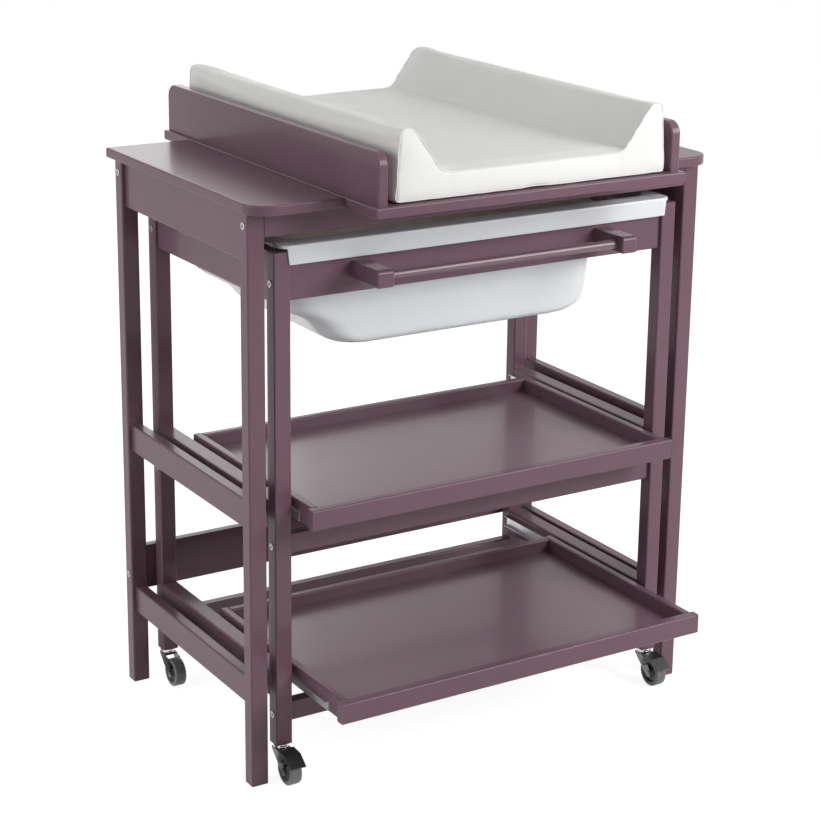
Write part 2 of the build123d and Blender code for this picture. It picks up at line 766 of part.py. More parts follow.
def caster_stem(x, y):
    """Stem, chrome collar and riveted kingpin, fixed to the leg."""
    stem = rod(x, y, trolley_leg_bottom, stem_diameter, stem_length, (0, 0, 1))
    collar = rod(x, y, trolley_leg_bottom - collar_height, collar_diameter, collar_height, (0, 0, 1))
    collar = fillet(collar.faces().sort_by(Axis.Z)[0].edges(), collar_round)
    head_top = fork_under - collar_gap
    pin = rod(x, y, head_top, kingpin_diameter, trolley_leg_bottom - head_top, (0, 0, 1))
    head = rod(x, y, head_top - kingpin_head_height, kingpin_head_diameter, kingpin_head_height, (0, 0, 1))
    return stem + collar + pin + head


def caster_fork(x, y, braked):
    """Swivel fork with two cheeks and the wheel's axle, trailing towards the front."""
    bridge = slab(x - cheek_outer, x + cheek_outer, y - fork_front, y + fork_back, fork_under, fork_top)
    bridge = fillet(bridge.edges().filter_by(Axis.Z).group_by(Axis.Y)[-1], fork_back * fork_corner_share)
    axle_y = y - caster_trail
    heel_y = y + fork_back * fork_corner_share
    lobe_y = axle_y + fork_boss_radius
    points = [(heel_y, fork_top), (lobe_y, fork_top - fork_lobe_drop), (axle_y - fork_boss_radius, axle_z),
              (lobe_y, axle_z - fork_boss_radius / 2), (heel_y, fork_under)]
    outline = Polygon(*points, align=None) + Pos(axle_y, axle_z) * Circle(fork_boss_radius)
    cheek = extrude(Plane.YZ.offset(x + cheek_inner) * outline, fork_sheet)
    other = Pos(-cheek_inner - cheek_outer, 0, 0) * cheek
    fork = bridge + cheek + other
    fork += rod(x - cheek_outer, axle_y, axle_z, axle_diameter, cheek_outer * 2, (1, 0, 0))
    for side in (-1, 1):
        fork += rod(x + side * cheek_outer, axle_y, axle_z, axle_head_diameter, axle_head, (side, 0, 0))
        if braked:
            fork += rod(x + side * cheek_outer, y + pedal_pivot_y, pedal_pivot_z, pedal_pin_diameter,
                        pedal_gap + pedal_sheet + pedal_pin_head, (side, 0, 0))
    hole = kingpin_diameter + axle_clearance * 2
    return fork - rod(x, y, fork_under - overrun, hole, fork_top_sheet + overrun * 2, (0, 0, 1))


def caster_wheel(x, y):
    """Wheel with a tread, recessed hub faces and a bore for the axle."""
    radius = wheel_diameter / 2
    axle_y = y - caster_trail
    tyre = rod(x - wheel_width / 2, axle_y, axle_z, wheel_diameter, wheel_width, (1, 0, 0))
    tyre = fillet(tyre.edges(), wheel_round)
    recess = (wheel_width - wheel_hub_width) / 2
    inner = (radius - wheel_tread) * 2
    hub = inner * hub_boss_share
    for side in (-1, 1):
        start = x + side * (wheel_width / 2 - recess)
        dish = rod(start, axle_y, axle_z, inner, recess + overrun, (side, 0, 0))
        boss = rod(start, axle_y, axle_z, hub, recess, (side, 0, 0))
        tyre = tyre - dish + boss
    bore = axle_diameter + axle_clearance * 2
    return tyre - rod(x - wheel_width, axle_y, axle_z, bore, wheel_width * 2, (1, 0, 0))


def brake_pedal(x, y):
    """Bent pedal over the wheel with an ear beside each cheek of the fork."""
    ear_inner = cheek_outer + pedal_gap
    ear_outer = ear_inner + pedal_sheet
    pivot_y = y + pedal_pivot_y
    axle_y = y - caster_trail
    start_y = axle_y + pedal_start_setback
    bend_y = axle_y - pedal_bend_reach
    toe_y = axle_y - pedal_toe_reach
    back_z = wheel_diameter + pedal_back_rise
    bend_z = wheel_diameter + pedal_bend_rise
    toe_z = wheel_diameter - pedal_toe_drop
    run = math.hypot(bend_y - toe_y, bend_z - toe_z)
    down = pedal_thickness * (bend_y - toe_y) / run
    back = pedal_thickness * (bend_z - toe_z) / run
    top = [(start_y, back_z), (bend_y, bend_z), (toe_y, toe_z)]
    under = [(toe_y + back, toe_z - down), (bend_y + back / 2, bend_z - pedal_thickness),
             (start_y, back_z - pedal_thickness)]
    plate = extrude(Plane.YZ.offset(x - ear_outer) * Polygon(*top, *under, align=None), ear_outer * 2)
    ear_points = [(start_y, back_z), (bend_y, bend_z), (bend_y, bend_z - pedal_thickness),
                  (pivot_y - pedal_ear_radius, pedal_pivot_z),
                  (pivot_y + pedal_ear_radius / 2, pedal_pivot_z)]
    ear_face = Polygon(*ear_points, align=None) + Pos(pivot_y, pedal_pivot_z) * Circle(pedal_ear_radius)
    ear = extrude(Plane.YZ.offset(x + ear_inner) * ear_face, pedal_sheet)
    other = Pos(-ear_inner - ear_outer, 0, 0) * ear
    bore = pedal_pin_diameter + axle_clearance * 2
    reach = ear_outer + overrun
    hole = rod(x - reach, pivot_y, pedal_pivot_z, bore, reach * 2, (1, 0, 0))
    return plate + ear + other - hole


def caster_nodes():
    """Stems, forks, wheels and brake pedals of the four casters."""
    nodes = {"caster_stems": [caster_stem(x, y) for x, y in caster_places().values()]}
    for name, (x, y) in caster_places().items():
        braked = name.startswith("front")
        nodes[f"caster_fork_{name}"] = caster_fork(x, y, braked)
        nodes[f"caster_wheel_{name}"] = caster_wheel(x, y)
        if braked:
            nodes[f"brake_pedal_{name}"] = brake_pedal(x, y)
    return nodes


# Whole part

def all_nodes():
    """Every node of the part by name."""
    nodes = {}
    nodes.update(table_nodes())
    nodes.update(tray_nodes())
    nodes["changing_mat"] = changing_mat()
    nodes.update(trolley_nodes())
    nodes.update(handle_nodes())
    nodes.update(shelf_nodes("middle_shelf", middle_shelf_low, middle_shelf_reach))
    nodes.update(shelf_nodes("bottom_shelf", bottom_shelf_low, bottom_shelf_reach))
    nodes["bathtub"] = bathtub()
    nodes["bath_plug"] = bath_plug()
    nodes.update(caster_nodes())
    return nodes


def placed(shape):
    """A node's shape, or list of shapes, moved to the part's own origin."""
    shift = Pos(0, -depth_origin, 0)
    if isinstance(shape, list):
        return Compound([shift * piece for piece in shape])
    return shift * shape


os.makedirs("parts", exist_ok=True)
for node, shape in all_nodes().items():
    export_step(placed(shape), f"parts/{node}.step")
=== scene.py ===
"""Looks of the changing table with its bath trolley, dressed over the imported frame.

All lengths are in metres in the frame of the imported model: X to the right, Y to the back, Z up.
"""

import json
import logging
import math
from abc import ABC, abstractmethod
from dataclasses import dataclass, field, replace
from enum import Enum

import bmesh
import bpy
from mathutils import Matrix, Vector, noise
from mathutils.bvhtree import BVHTree

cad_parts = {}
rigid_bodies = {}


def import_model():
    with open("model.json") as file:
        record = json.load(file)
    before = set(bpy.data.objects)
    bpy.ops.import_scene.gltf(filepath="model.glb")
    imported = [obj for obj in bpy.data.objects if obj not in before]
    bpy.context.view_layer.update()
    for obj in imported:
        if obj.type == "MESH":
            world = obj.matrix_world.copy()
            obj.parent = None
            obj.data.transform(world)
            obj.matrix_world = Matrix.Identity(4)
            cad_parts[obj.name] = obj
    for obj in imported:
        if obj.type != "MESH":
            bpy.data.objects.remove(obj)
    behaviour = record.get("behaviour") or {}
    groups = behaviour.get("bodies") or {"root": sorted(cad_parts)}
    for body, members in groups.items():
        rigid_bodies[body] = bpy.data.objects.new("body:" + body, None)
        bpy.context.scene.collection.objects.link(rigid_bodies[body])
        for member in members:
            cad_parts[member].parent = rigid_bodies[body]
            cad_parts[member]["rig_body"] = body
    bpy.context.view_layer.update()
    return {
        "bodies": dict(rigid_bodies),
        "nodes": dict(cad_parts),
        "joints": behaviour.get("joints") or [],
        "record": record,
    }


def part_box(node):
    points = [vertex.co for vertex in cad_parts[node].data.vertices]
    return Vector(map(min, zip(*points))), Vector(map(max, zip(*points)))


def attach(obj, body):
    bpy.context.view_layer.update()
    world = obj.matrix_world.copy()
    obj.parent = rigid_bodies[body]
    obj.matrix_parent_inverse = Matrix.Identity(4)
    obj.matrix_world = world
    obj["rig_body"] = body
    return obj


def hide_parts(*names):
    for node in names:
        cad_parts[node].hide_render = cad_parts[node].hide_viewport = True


LOG = logging.getLogger("changing_table")
MM = 0.001
CORNERS = ("front_left", "front_right", "back_left", "back_right")
NOISE_LOW, NOISE_HIGH = 0.3, 0.7
CORNER_SHARE = 0.45
FOLD_DEGREES = 38.0
BEAD_DEGREES = 60.0
NO_FOLD = 180.0
WELD = 1e-7
TINY = 1e-12
ASLANT = (0.31, 0.17, 0.93)
WHITE = (1.0, 1.0, 1.0, 1.0)
TIGHT = 14.0

Pair = tuple[float, float]
Triple = tuple[float, float, float]
Colour = Triple
Outline = list[Pair]
Socket = bpy.types.NodeSocket
Piece = bpy.types.Object


class Grain(Enum):
    """Way in which a wooden bar's grain runs, and how tight its pattern is along X, Y and Z."""

    ACROSS = (1.0, TIGHT, TIGHT)
    DEEP = (TIGHT, 1.0, TIGHT)
    UPRIGHT = (TIGHT, TIGHT, 1.0)


class Side(Enum):
    """Left or right hand of the table, seen from the front."""

    LEFT = -1
    RIGHT = 1


class Axis(Enum):
    """Line round which a piece is turned."""

    ACROSS = "X"
    UPRIGHT = "Z"


# Shader building

class NodeBoard:
    """Node tree of a material or of the room's air, with short ways to add and feed nodes."""

    def __init__(self, owner: bpy.types.ID, output: str) -> None:
        """Empties the tree and adds its output.

        Args:
            owner: material or world that holds the tree.
            output: Blender's name of the output node.
        """
        owner.use_nodes = True
        self.tree = owner.node_tree
        self.tree.nodes.clear()
        self.output = self.add(output)

    def add(self, kind: str, inputs: dict[str, object] | None = None,
            **values: object) -> bpy.types.Node:
        """Adds a node, sets its properties and feeds its inputs.

        Args:
            kind: Blender's name of the node type.
            inputs: what each named input gets.
            values: node properties by name.

        Returns:
            The new node.
        """
        node = self.tree.nodes.new(kind)
        for key, value in values.items():
            setattr(node, key, value)
        for key, value in (inputs or {}).items():
            self.feed(node.inputs[key], value)
        return node

    def feed(self, target: Socket, value: object) -> None:
        """Gives an input its value.

        Args:
            target: the input.
            value: socket to join, or plain value to set.
        """
        if isinstance(value, Socket):
            self.tree.links.new(value, target)
        else:
            target.default_value = value

    def show(self, surface: Socket) -> None:
        """Joins a shader to the output."""
        self.feed(self.output.inputs["Surface"], surface)

    def by_sight(self, hidden: Socket, seen: Socket) -> Socket:
        """Picks a shader by the ray that meets it.

        Args:
            hidden: shader for rays that only carry light.
            seen: shader for rays that see it straight, in a mirror or through glass.

        Returns:
            Socket with the picked shader.
        """
        rays = self.add("ShaderNodeLightPath").outputs
        share = rays["Is Camera Ray"]
        for name in ("Is Glossy Ray", "Is Transmission Ray"):
            larger = self.add("ShaderNodeMath", operation="MAXIMUM")
            self.feed(larger.inputs[0], share)
            self.feed(larger.inputs[1], rays[name])
            share = larger.outputs[0]
        choice = self.add("ShaderNodeMixShader")
        for target, source in zip(choice.inputs, (share, hidden, seen)):
            self.feed(target, source)
        return choice.outputs[0]


class ShaderBoard(NodeBoard):
    """Node tree of one material round a principled shader."""

    def __init__(self, name: str) -> None:
        """Starts a material with a principled shader.

        Args:
            name: name of the new material.
        """
        self.material = bpy.data.materials.new(name)
        super().__init__(self.material, "ShaderNodeOutputMaterial")
        self.shader = self.add("ShaderNodeBsdfPrincipled")
        self.show(self.shader.outputs["BSDF"])

    def place(self, stretch: Triple = (1.0, 1.0, 1.0)) -> Socket:
        """Object coordinates, stretched by a factor along each axis."""
        source = self.add("ShaderNodeTexCoord").outputs["Object"]
        return self.add("ShaderNodeMapping", {"Scale": stretch, "Vector": source}).outputs["Vector"]

    def cloud(self, place: Socket, scale: float, detail: float = 3.0,
              rough: float = 0.5) -> Socket:
        """Soft noise: features per metre, number of finer layers and their weight."""
        return self.add("ShaderNodeTexNoise", {"Vector": place, "Scale": scale, "Detail": detail,
                                               "Roughness": rough}).outputs["Fac"]

    def pebbles(self, place: Socket, scale: float, smoothness: float) -> Socket:
        """Small rounded cells, as in embossed vinyl: cells per metre and how soft they are."""
        inputs = {"Vector": place, "Scale": scale, "Smoothness": smoothness}
        return self.add("ShaderNodeTexVoronoi", inputs, feature="SMOOTH_F1").outputs["Distance"]

    def span(self, value: Socket, low: float = 0.0, high: float = 1.0) -> Socket:
        """Maps a noise value to a range.

        Args:
            value: noise value, mostly between NOISE_LOW and NOISE_HIGH.
            low: result at the low end.
            high: result at the high end.

        Returns:
            Socket with the mapped value.
        """
        inputs = {"Value": value, "From Min": NOISE_LOW, "From Max": NOISE_HIGH, "To Min": low,
                  "To Max": high}
        return self.add("ShaderNodeMapRange", inputs).outputs["Result"]

    def blend(self, first: Socket | Colour, second: Socket | Colour, amount: Socket | float,
              kind: str = "MIX") -> Socket:
        """Mixes two colours.

        Args:
            first: colour at 0.
            second: colour at 1.
            amount: share of the second colour.
            kind: Blender's name of the way to mix.

        Returns:
            Socket with the mixed colour.
        """
        node = self.add("ShaderNodeMix", {"Factor": amount}, data_type="RGBA", blend_type=kind)
        targets = [socket for socket in node.inputs if socket.type == "RGBA"]
        for target, value in zip(targets, (first, second)):
            self.feed(target, value if isinstance(value, Socket) else (*value, 1.0))
        return next(socket for socket in node.outputs if socket.type == "RGBA")

    def relief(self, height: Socket, distance: float, strength: float = 1.0,
               under: Socket | None = None) -> Socket:
        """Bump from a height.

        Args:
            height: height between 0 and 1.
            distance: height of the relief in metres.
            strength: share of it that shows.
            under: normal of a coarser relief below it.

        Returns:
            Socket with the normal.
        """
        inputs = {"Distance": distance, "Strength": strength, "Height": height}
        if under is not None:
            inputs["Normal"] = under
        return self.add("ShaderNodeBump", inputs).outputs["Normal"]

    def set(self, **inputs: object) -> None:
        """Feeds the shader's own sockets; an underscore stands for a space in a name."""
        for key, value in inputs.items():
            self.feed(self.shader.inputs[key.replace("_", " ")], value)


def toned(colour: Colour, factor: float) -> Colour:
    """The colour made lighter or darker by a factor."""
    return tuple(min(1.0, channel * factor) for channel in colour)


# Finishes

@dataclass(frozen=True)
class Finish(ABC):
    """A surface finish, from which a material can be made."""

    @abstractmethod
    def mix(self, board: ShaderBoard, place: Socket) -> None:
        """Sets the finish up on a fresh board.

        Args:
            board: node tree of the material.
            place: object coordinates.
        """

    def material(self, name: str) -> bpy.types.Material:
        """Makes a material with the finish.

        Args:
            name: name of the material.

        Returns:
            The material.
        """
        board = ShaderBoard(name)
        self.mix(board, board.place())
        return board.material


@dataclass(frozen=True)
class LacqueredWood(Finish):
    """Plum-coloured satin lacquer over close-grained wood."""

    grain: Grain
    gloss: float = 0.30
    gloss_spread: float = 0.025
    shine: float = 0.17
    coat: float = 0.16
    coat_gloss: float = 0.10
    index: float = 1.5
    colour: Colour = (0.152, 0.084, 0.110)
    tone_spread: float = 0.07
    grain_spread: float = 0.015
    patches: float = 3.5
    streaks: float = 22.0
    peel: float = 420.0
    grain_height: float = 0.00001
    lacquer_height: float = 0.00004

    def mix(self, board: ShaderBoard, place: Socket) -> None:
        """Lays patches and streaks of tone under a skin of lacquer.

        Args:
            board: node tree of the material.
            place: object coordinates.
        """
        patch = board.cloud(place, self.patches, detail=2.0)
        streak = board.cloud(board.place(self.grain.value), self.streaks, detail=6.0, rough=0.62)
        peel = board.cloud(place, self.peel, detail=2.0)
        broad = board.blend(toned(self.colour, 1 - self.tone_spread),
                            toned(self.colour, 1 + self.tone_spread), board.span(patch))
        fine = board.blend((1 - self.grain_spread,) * 3, (1.0, 1.0, 1.0), board.span(streak))
        rough = board.span(streak, self.gloss - self.gloss_spread, self.gloss + self.gloss_spread)
        deep = board.relief(streak, self.grain_height)
        board.set(Base_Color=board.blend(broad, fine, 1.0, "MULTIPLY"), Roughness=rough,
                  Normal=board.relief(peel, self.lacquer_height, under=deep),
                  Specular_IOR_Level=self.shine, Coat_Weight=self.coat,
                  Coat_Roughness=self.coat_gloss, IOR=self.index)


@dataclass(frozen=True)
class CoatedVinyl(Finish):
    """White wipe-clean vinyl with a fine embossed skin."""

    colour: Colour = (0.81, 0.81, 0.787)
    shade: Colour = (0.785, 0.785, 0.76)
    scuffs: float = 16.0
    scuff_share: float = 0.55
    low_gloss: float = 0.43
    high_gloss: float = 0.56
    shine: float = 0.4
    sheen: float = 0.04
    index: float = 1.46
    cells: float = 1100.0
    cell_softness: float = 0.6
    cell_height: float = 0.00010
    cell_share: float = 0.7
    waves: float = 9.0
    wave_height: float = 0.0004

    def mix(self, board: ShaderBoard, place: Socket) -> None:
        """Lays faint scuffs and small cells over soft waves.

        Args:
            board: node tree of the material.
            place: object coordinates.
        """
        cells = board.pebbles(place, self.cells, self.cell_softness)
        scuffs = board.cloud(place, self.scuffs, detail=4.0)
        soft = board.relief(board.cloud(place, self.waves, rough=0.45), self.wave_height)
        tone = board.span(scuffs, high=self.scuff_share)
        board.set(Base_Color=board.blend(self.colour, self.shade, tone),
                  Roughness=board.span(scuffs, self.low_gloss, self.high_gloss),
                  Normal=board.relief(cells, self.cell_height, self.cell_share, soft),
                  Specular_IOR_Level=self.shine, Sheen_Weight=self.sheen, IOR=self.index)


@dataclass(frozen=True)
class MouldedPlastic(Finish):
    """Smooth or matt moulded plastic with faint flow marks."""

    colour: Colour
    gloss: float
    spread: float = 0.05
    flow: float = 14.0
    flow_height: float = 0.00003
    skin: float = 900.0
    skin_height: float = 0.00002
    haze: float = 0.16
    coat: float = 0.0
    coat_gloss: float = 0.15
    index: float = 1.5
    depth: float = 0.0
    reach: Triple = (0.011, 0.009, 0.0075)

    def mix(self, board: ShaderBoard, place: Socket) -> None:
        """Lays a fine skin over wide flow marks.

        Args:
            board: node tree of the material.
            place: object coordinates.
        """
        flow = board.cloud(place, self.flow)
        skin = board.cloud(place, self.skin, detail=2.0)
        colour = board.blend(toned(self.colour, 1 - self.spread),
                             toned(self.colour, 1 + self.spread / 2), board.span(flow))
        rough = board.span(flow, self.gloss * (1 - self.haze), self.gloss * (1 + self.haze))
        wide = board.relief(flow, self.flow_height)
        board.set(Base_Color=colour, Roughness=rough,
                  Normal=board.relief(skin, self.skin_height, under=wide),
                  Coat_Weight=self.coat, Coat_Roughness=self.coat_gloss, IOR=self.index,
                  Subsurface_Weight=self.depth, Subsurface_Radius=self.reach,
                  Subsurface_Scale=1.0)


@dataclass(frozen=True)
class PlatedMetal(Finish):
    """Bright plated or polished metal with fine rubbing marks."""

    colour: Colour
    gloss: float
    spread: float = 0.10
    patches: float = 40.0
    rub: Triple = (1.0, 1.0, 6.0)
    rub_scale: float = 260.0
    rub_height: float = 0.00002
    least_gloss: float = 0.75
    most_gloss: float = 1.35

    def mix(self, board: ShaderBoard, place: Socket) -> None:
        """Lays rubbing marks over softly clouded metal.

        Args:
            board: node tree of the material.
            place: object coordinates.
        """
        patch = board.cloud(place, self.patches)
        marks = board.cloud(board.place(self.rub), self.rub_scale, detail=4.0, rough=0.6)
        board.set(Base_Color=board.blend(toned(self.colour, 1 - self.spread), self.colour,
                                         board.span(patch)),
                  Roughness=board.span(marks, self.gloss * self.least_gloss,
                                       self.gloss * self.most_gloss),
                  Normal=board.relief(marks, self.rub_height), Metallic=1.0)


class Coat(Enum):
    """Finishes of the object; each name in small letters is that of its material."""

    PLUM_LACQUER_ACROSS = LacqueredWood(Grain.ACROSS)
    PLUM_LACQUER_DEEP = LacqueredWood(Grain.DEEP)
    PLUM_LACQUER_UPRIGHT = LacqueredWood(Grain.UPRIGHT)
    PLUM_BOARD_ACROSS = LacqueredWood(Grain.ACROSS, gloss=0.34, shine=0.46)
    COATED_VINYL = CoatedVinyl()
    TUB_WHITE = MouldedPlastic((0.79, 0.797, 0.80), 0.30, 0.005, haze=0.03, coat=0.1,
                               flow_height=0.00001, depth=0.6)
    PLUG_GREY = MouldedPlastic((0.56, 0.56, 0.55), 0.22)
    PEDAL_BLACK = MouldedPlastic((0.020, 0.020, 0.022), 0.36, 0.2, skin=1400.0,
                                 skin_height=0.00005)
    TYRE_GREY = MouldedPlastic((0.150, 0.152, 0.152), 0.46, 0.10, flow=60.0, skin=1800.0,
                               skin_height=0.00005)
    HUB_DARK = MouldedPlastic((0.045, 0.046, 0.050), 0.42, 0.15)
    BOLT_ZINC = PlatedMetal((0.46, 0.45, 0.45), 0.30)
    COLLAR_CHROME = PlatedMetal((0.80, 0.80, 0.81), 0.12)
    FORK_STEEL = PlatedMetal((0.17, 0.17, 0.175), 0.26)
    RIVET_DARK = PlatedMetal((0.13, 0.13, 0.14), 0.30)
    RUNNER_STEEL = PlatedMetal((0.60, 0.61, 0.62), 0.33, rub=(1.0, 0.3, 6.0))


@dataclass
class FinishBook:
    """Every material of the object, made once and shared by its pieces."""

    made: dict[Coat, bpy.types.Material] = field(default_factory=dict)

    def get(self, coat: Coat) -> bpy.types.Material:
        """Material of a finish, made the first time it is asked for.

        Args:
            coat: the finish.

        Returns:
            The material.
        """
        if coat not in self.made:
            self.made[coat] = coat.value.material(coat.name.lower())
        return self.made[coat]


# Mesh tools

def as_piece(mesh: bpy.types.Mesh, material: bpy.types.Material,
             crease_degrees: float = FOLD_DEGREES) -> Piece:
    """Puts a mesh into the scene as a smooth-shaded piece of the same name.

    Args:
        mesh: the mesh.
        material: finish of the piece.
        crease_degrees: fold above which an edge is sharp.

    Returns:
        The new piece.
    """
    piece = bpy.data.objects.new(mesh.name, mesh)
    bpy.context.scene.collection.objects.link(piece)
    mesh.materials.append(material)
    settle(piece, crease_degrees)
    return piece


def mesh_piece(name: str, points: list[Vector], faces: list[list[int]],
               material: bpy.types.Material, crease_degrees: float = FOLD_DEGREES) -> Piece:
    """Makes a piece from its points and faces.

    Args:
        name: name of the piece.
        points: corner places.
        faces: corner numbers of each face.
        material: finish of the piece.
        crease_degrees: fold above which an edge is sharp.

    Returns:
        The new piece.
    """
    mesh = bpy.data.meshes.new(name)
    mesh.from_pydata([tuple(point) for point in points], [], faces)
    return as_piece(mesh, material, crease_degrees)


def settle(piece: Piece, crease_degrees: float) -> None:
    """Joins doubled points, turns faces outward, and marks folds as sharp.

    Args:
        piece: the mesh piece.
        crease_degrees: fold above which an edge is sharp.
    """
    shape = bmesh.new()
    shape.from_mesh(piece.data)
    bmesh.ops.remove_doubles(shape, verts=shape.verts, dist=WELD)
    bmesh.ops.recalc_face_normals(shape, faces=shape.faces)
    limit = math.radians(crease_degrees)
    for edge in shape.edges:
        edge.smooth = edge.calc_face_angle(0.0) < limit
    for face in shape.faces:
        face.smooth = True
    shape.to_mesh(piece.data)
    shape.free()


def bake(piece: Piece) -> None:
    """Applies all modifiers of a piece to its mesh.

    Args:
        piece: the mesh piece.
    """
    graph = bpy.context.evaluated_depsgraph_get()
    graph.update()
    mesh = bpy.data.meshes.new_from_object(piece.evaluated_get(graph), depsgraph=graph)
    old = piece.data
    piece.modifiers.clear()
    piece.data = mesh
    bpy.data.meshes.remove(old)


def between(low: float, high: float, share: float) -> float:
    """Value at a share of the way from one value to another."""
    return low + (high - low) * share


def quarter_turn(steps: int) -> list[float]:
    """Angles from 0 to 90 degrees in even steps, in radians."""
    return [math.radians(90 * k / steps) for k in range(steps + 1)]


def nearness(away: float, reach: float) -> float:
    """Share that falls off softly with the distance from a line."""
    return math.exp(-(away / reach) ** 2)


def rounded_outline(points: Outline, radii: list[float], steps: int = 6) -> Outline:
    """Softens the corners of a closed outline.

    Args:
        points: corners in order.
        radii: rounding of each corner.
        steps: pieces in each rounded corner.

    Returns:
        The softened outline.
    """
    result: Outline = []
    for i, (point, radius) in enumerate(zip(points, radii)):
        here = Vector(point)
        before = Vector(points[i - 1]) - here
        after = Vector(points[(i + 1) % len(points)]) - here
        reach = min(radius / math.tan(before.angle(after) / 2), before.length * CORNER_SHARE,
                    after.length * CORNER_SHARE)
        start = here + before.normalized() * reach
        end = here + after.normalized() * reach
        for k in range(steps + 1):
            t = k / steps
            result.append(tuple(start * (1 - t) ** 2 + here * 2 * t * (1 - t) + end * t * t))
    return result


def resampled(points: Outline, step: float) -> Outline:
    """Spreads points along a closed outline.

    Args:
        points: outline.
        step: distance between the new points.

    Returns:
        The outline with evenly spread points.
    """
    ring = [Vector(point) for point in (*points, points[0])]
    lengths = [0.0]
    for a, b in zip(ring, ring[1:]):
        lengths.append(lengths[-1] + (b - a).length)
    count = round(lengths[-1] / step)
    result, k = [], 0
    for i in range(count):
        goal = lengths[-1] * i / count
        while lengths[k + 1] < goal:
            k += 1
        share = (goal - lengths[k]) / max(lengths[k + 1] - lengths[k], TINY)
        result.append(tuple(ring[k].lerp(ring[k + 1], share)))
    return result


def ring_faces(rings: int, count: int, looped: bool = False) -> list[list[int]]:
    """Four-sided faces between closed rings of points.

    Args:
        rings: number of rings.
        count: points in each ring.
        looped: whether the last ring joins the first.

    Returns:
        Corner numbers of the faces.
    """
    faces = []
    for r in range(rings if looped else rings - 1):
        base, over = r * count, (r + 1) % rings * count
        for i in range(count):
            j = (i + 1) % count
            faces.append([base + i, base + j, over + j, over + i])
    return faces


def turned(name: str, centre: Vector, profile: Outline, material: bpy.types.Material,
           axis: Axis = Axis.ACROSS, segments: int = 72,
           crease_degrees: float = FOLD_DEGREES) -> Piece:
    """Turned piece: a closed profile spun round an axis.

    Args:
        name: name of the piece.
        centre: place of the profile's zero.
        profile: pairs of place along the axis and distance from it.
        material: finish.
        axis: line round which it spins.
        segments: number of steps round the axis.
        crease_degrees: fold above which an edge is sharp.

    Returns:
        The new piece.
    """
    points = []
    for i in range(segments):
        angle = math.tau * i / segments
        for along, radius in profile:
            round_axis = (radius * math.cos(angle), radius * math.sin(angle))
            spot = (along, *round_axis) if axis is Axis.ACROSS else (*round_axis, along)
            points.append(centre + Vector(spot))
    return mesh_piece(name, points, ring_faces(segments, len(profile), True), material,
                      crease_degrees)


def tube(name: str, points: list[Vector], radius: float, material: bpy.types.Material,
         sides: int = 8) -> Piece:
    """Round bead that follows a closed line of points.

    Args:
        name: name of the piece.
        points: line of points.
        radius: radius of the bead.
        material: finish.
        sides: number of flat sides round it.

    Returns:
        The new piece.
    """
    rings = []
    for i, point in enumerate(points):
        along = points[(i + 1) % len(points)] - points[i - 1]
        across = along.cross(Vector(ASLANT)).normalized()
        lift = along.cross(across).normalized()
        for k in range(sides):
            angle = math.tau * k / sides
            rings.append(point + (across * math.cos(angle) + lift * math.sin(angle)) * radius)
    return mesh_piece(name, rings, ring_faces(len(points), sides, True), material,
                      BEAD_DEGREES)


# Sub-assemblies

@dataclass
class SubAssembly(ABC):
    """A group of pieces that is built and then dressed."""

    finishes: FinishBook
    nodes: dict[str, Piece]

    def build(self) -> list[Piece]:
        """Makes the group's own pieces; most groups need none."""
        return []

    @abstractmethod
    def dress(self) -> None:
        """Gives the group's pieces from the frame their finishes."""

    def run(self) -> None:
        """Builds and dresses the group and reports each new piece."""
        for piece in self.build():
            LOG.info("%s rides on %s", piece.name, piece.get("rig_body"))
        self.dress()
        LOG.info("%s is dressed", type(self).__name__)

    def paint(self, node: str, coat: Coat) -> None:
        """Puts a finish on a piece of the frame.

        Args:
            node: name of the piece.
            coat: its finish.
        """
        material = self.finishes.get(coat)
        slots = self.nodes[node].data.materials
        if not slots:
            slots.append(material)
        for i in range(len(slots)):
            slots[i] = material


@dataclass
class WoodenFrame(SubAssembly):
    """Bolted frame with a leg in each corner and lacquered rails between the legs."""

    prefix: str = "table"
    across: tuple[str, ...] = ()
    upright: tuple[str, ...] = tuple(f"leg_{corner}" for corner in CORNERS)
    deep: tuple[str, ...] = ("apron_left", "apron_right", "middle_rail_left", "middle_rail_right",
                             "low_rail_left", "low_rail_right")

    def dress(self) -> None:
        """Lacquers the wood with its grain along each bar, and plates the bolts."""
        for names, coat in ((self.upright, Coat.PLUM_LACQUER_UPRIGHT),
                            (self.deep, Coat.PLUM_LACQUER_DEEP),
                            (self.across, Coat.PLUM_LACQUER_ACROSS)):
            for name in names:
                self.paint(f"{self.prefix}_{name}", coat)
        self.paint(f"{self.prefix}_bolts", Coat.BOLT_ZINC)


@dataclass
class OuterTable(WoodenFrame):
    """Legs, rails, top boards and bolts of the fixed table."""

    across: tuple[str, ...] = ("top", "front_rail", "back_rail", "back_low_rail")


@dataclass
class TrolleyFrame(WoodenFrame):
    """Legs, aprons, rails, handle, bolts and runner channels of the rolling trolley."""

    prefix: str = "trolley"
    across: tuple[str, ...] = ("front_apron", "back_apron", "front_middle_rail", "front_low_rail",
                               "back_middle_rail", "back_low_rail")

    def dress(self) -> None:
        """Lacquers the frame and its handle, and galvanises the channels."""
        super().dress()
        self.paint("handle_blocks", Coat.PLUM_LACQUER_DEEP)
        self.paint("handle_rod", Coat.PLUM_BOARD_ACROSS)
        self.paint("runner_channels", Coat.RUNNER_STEEL)


@dataclass
class ChangingTray(SubAssembly):
    """Base board and side boards that hold the mat."""

    boards: tuple[str, ...] = ("tray_base", "tray_side_left", "tray_side_right")

    def dress(self) -> None:
        """Lacquers the boards with their grain from front to back."""
        for name in self.boards:
            self.paint(name, Coat.PLUM_LACQUER_DEEP)


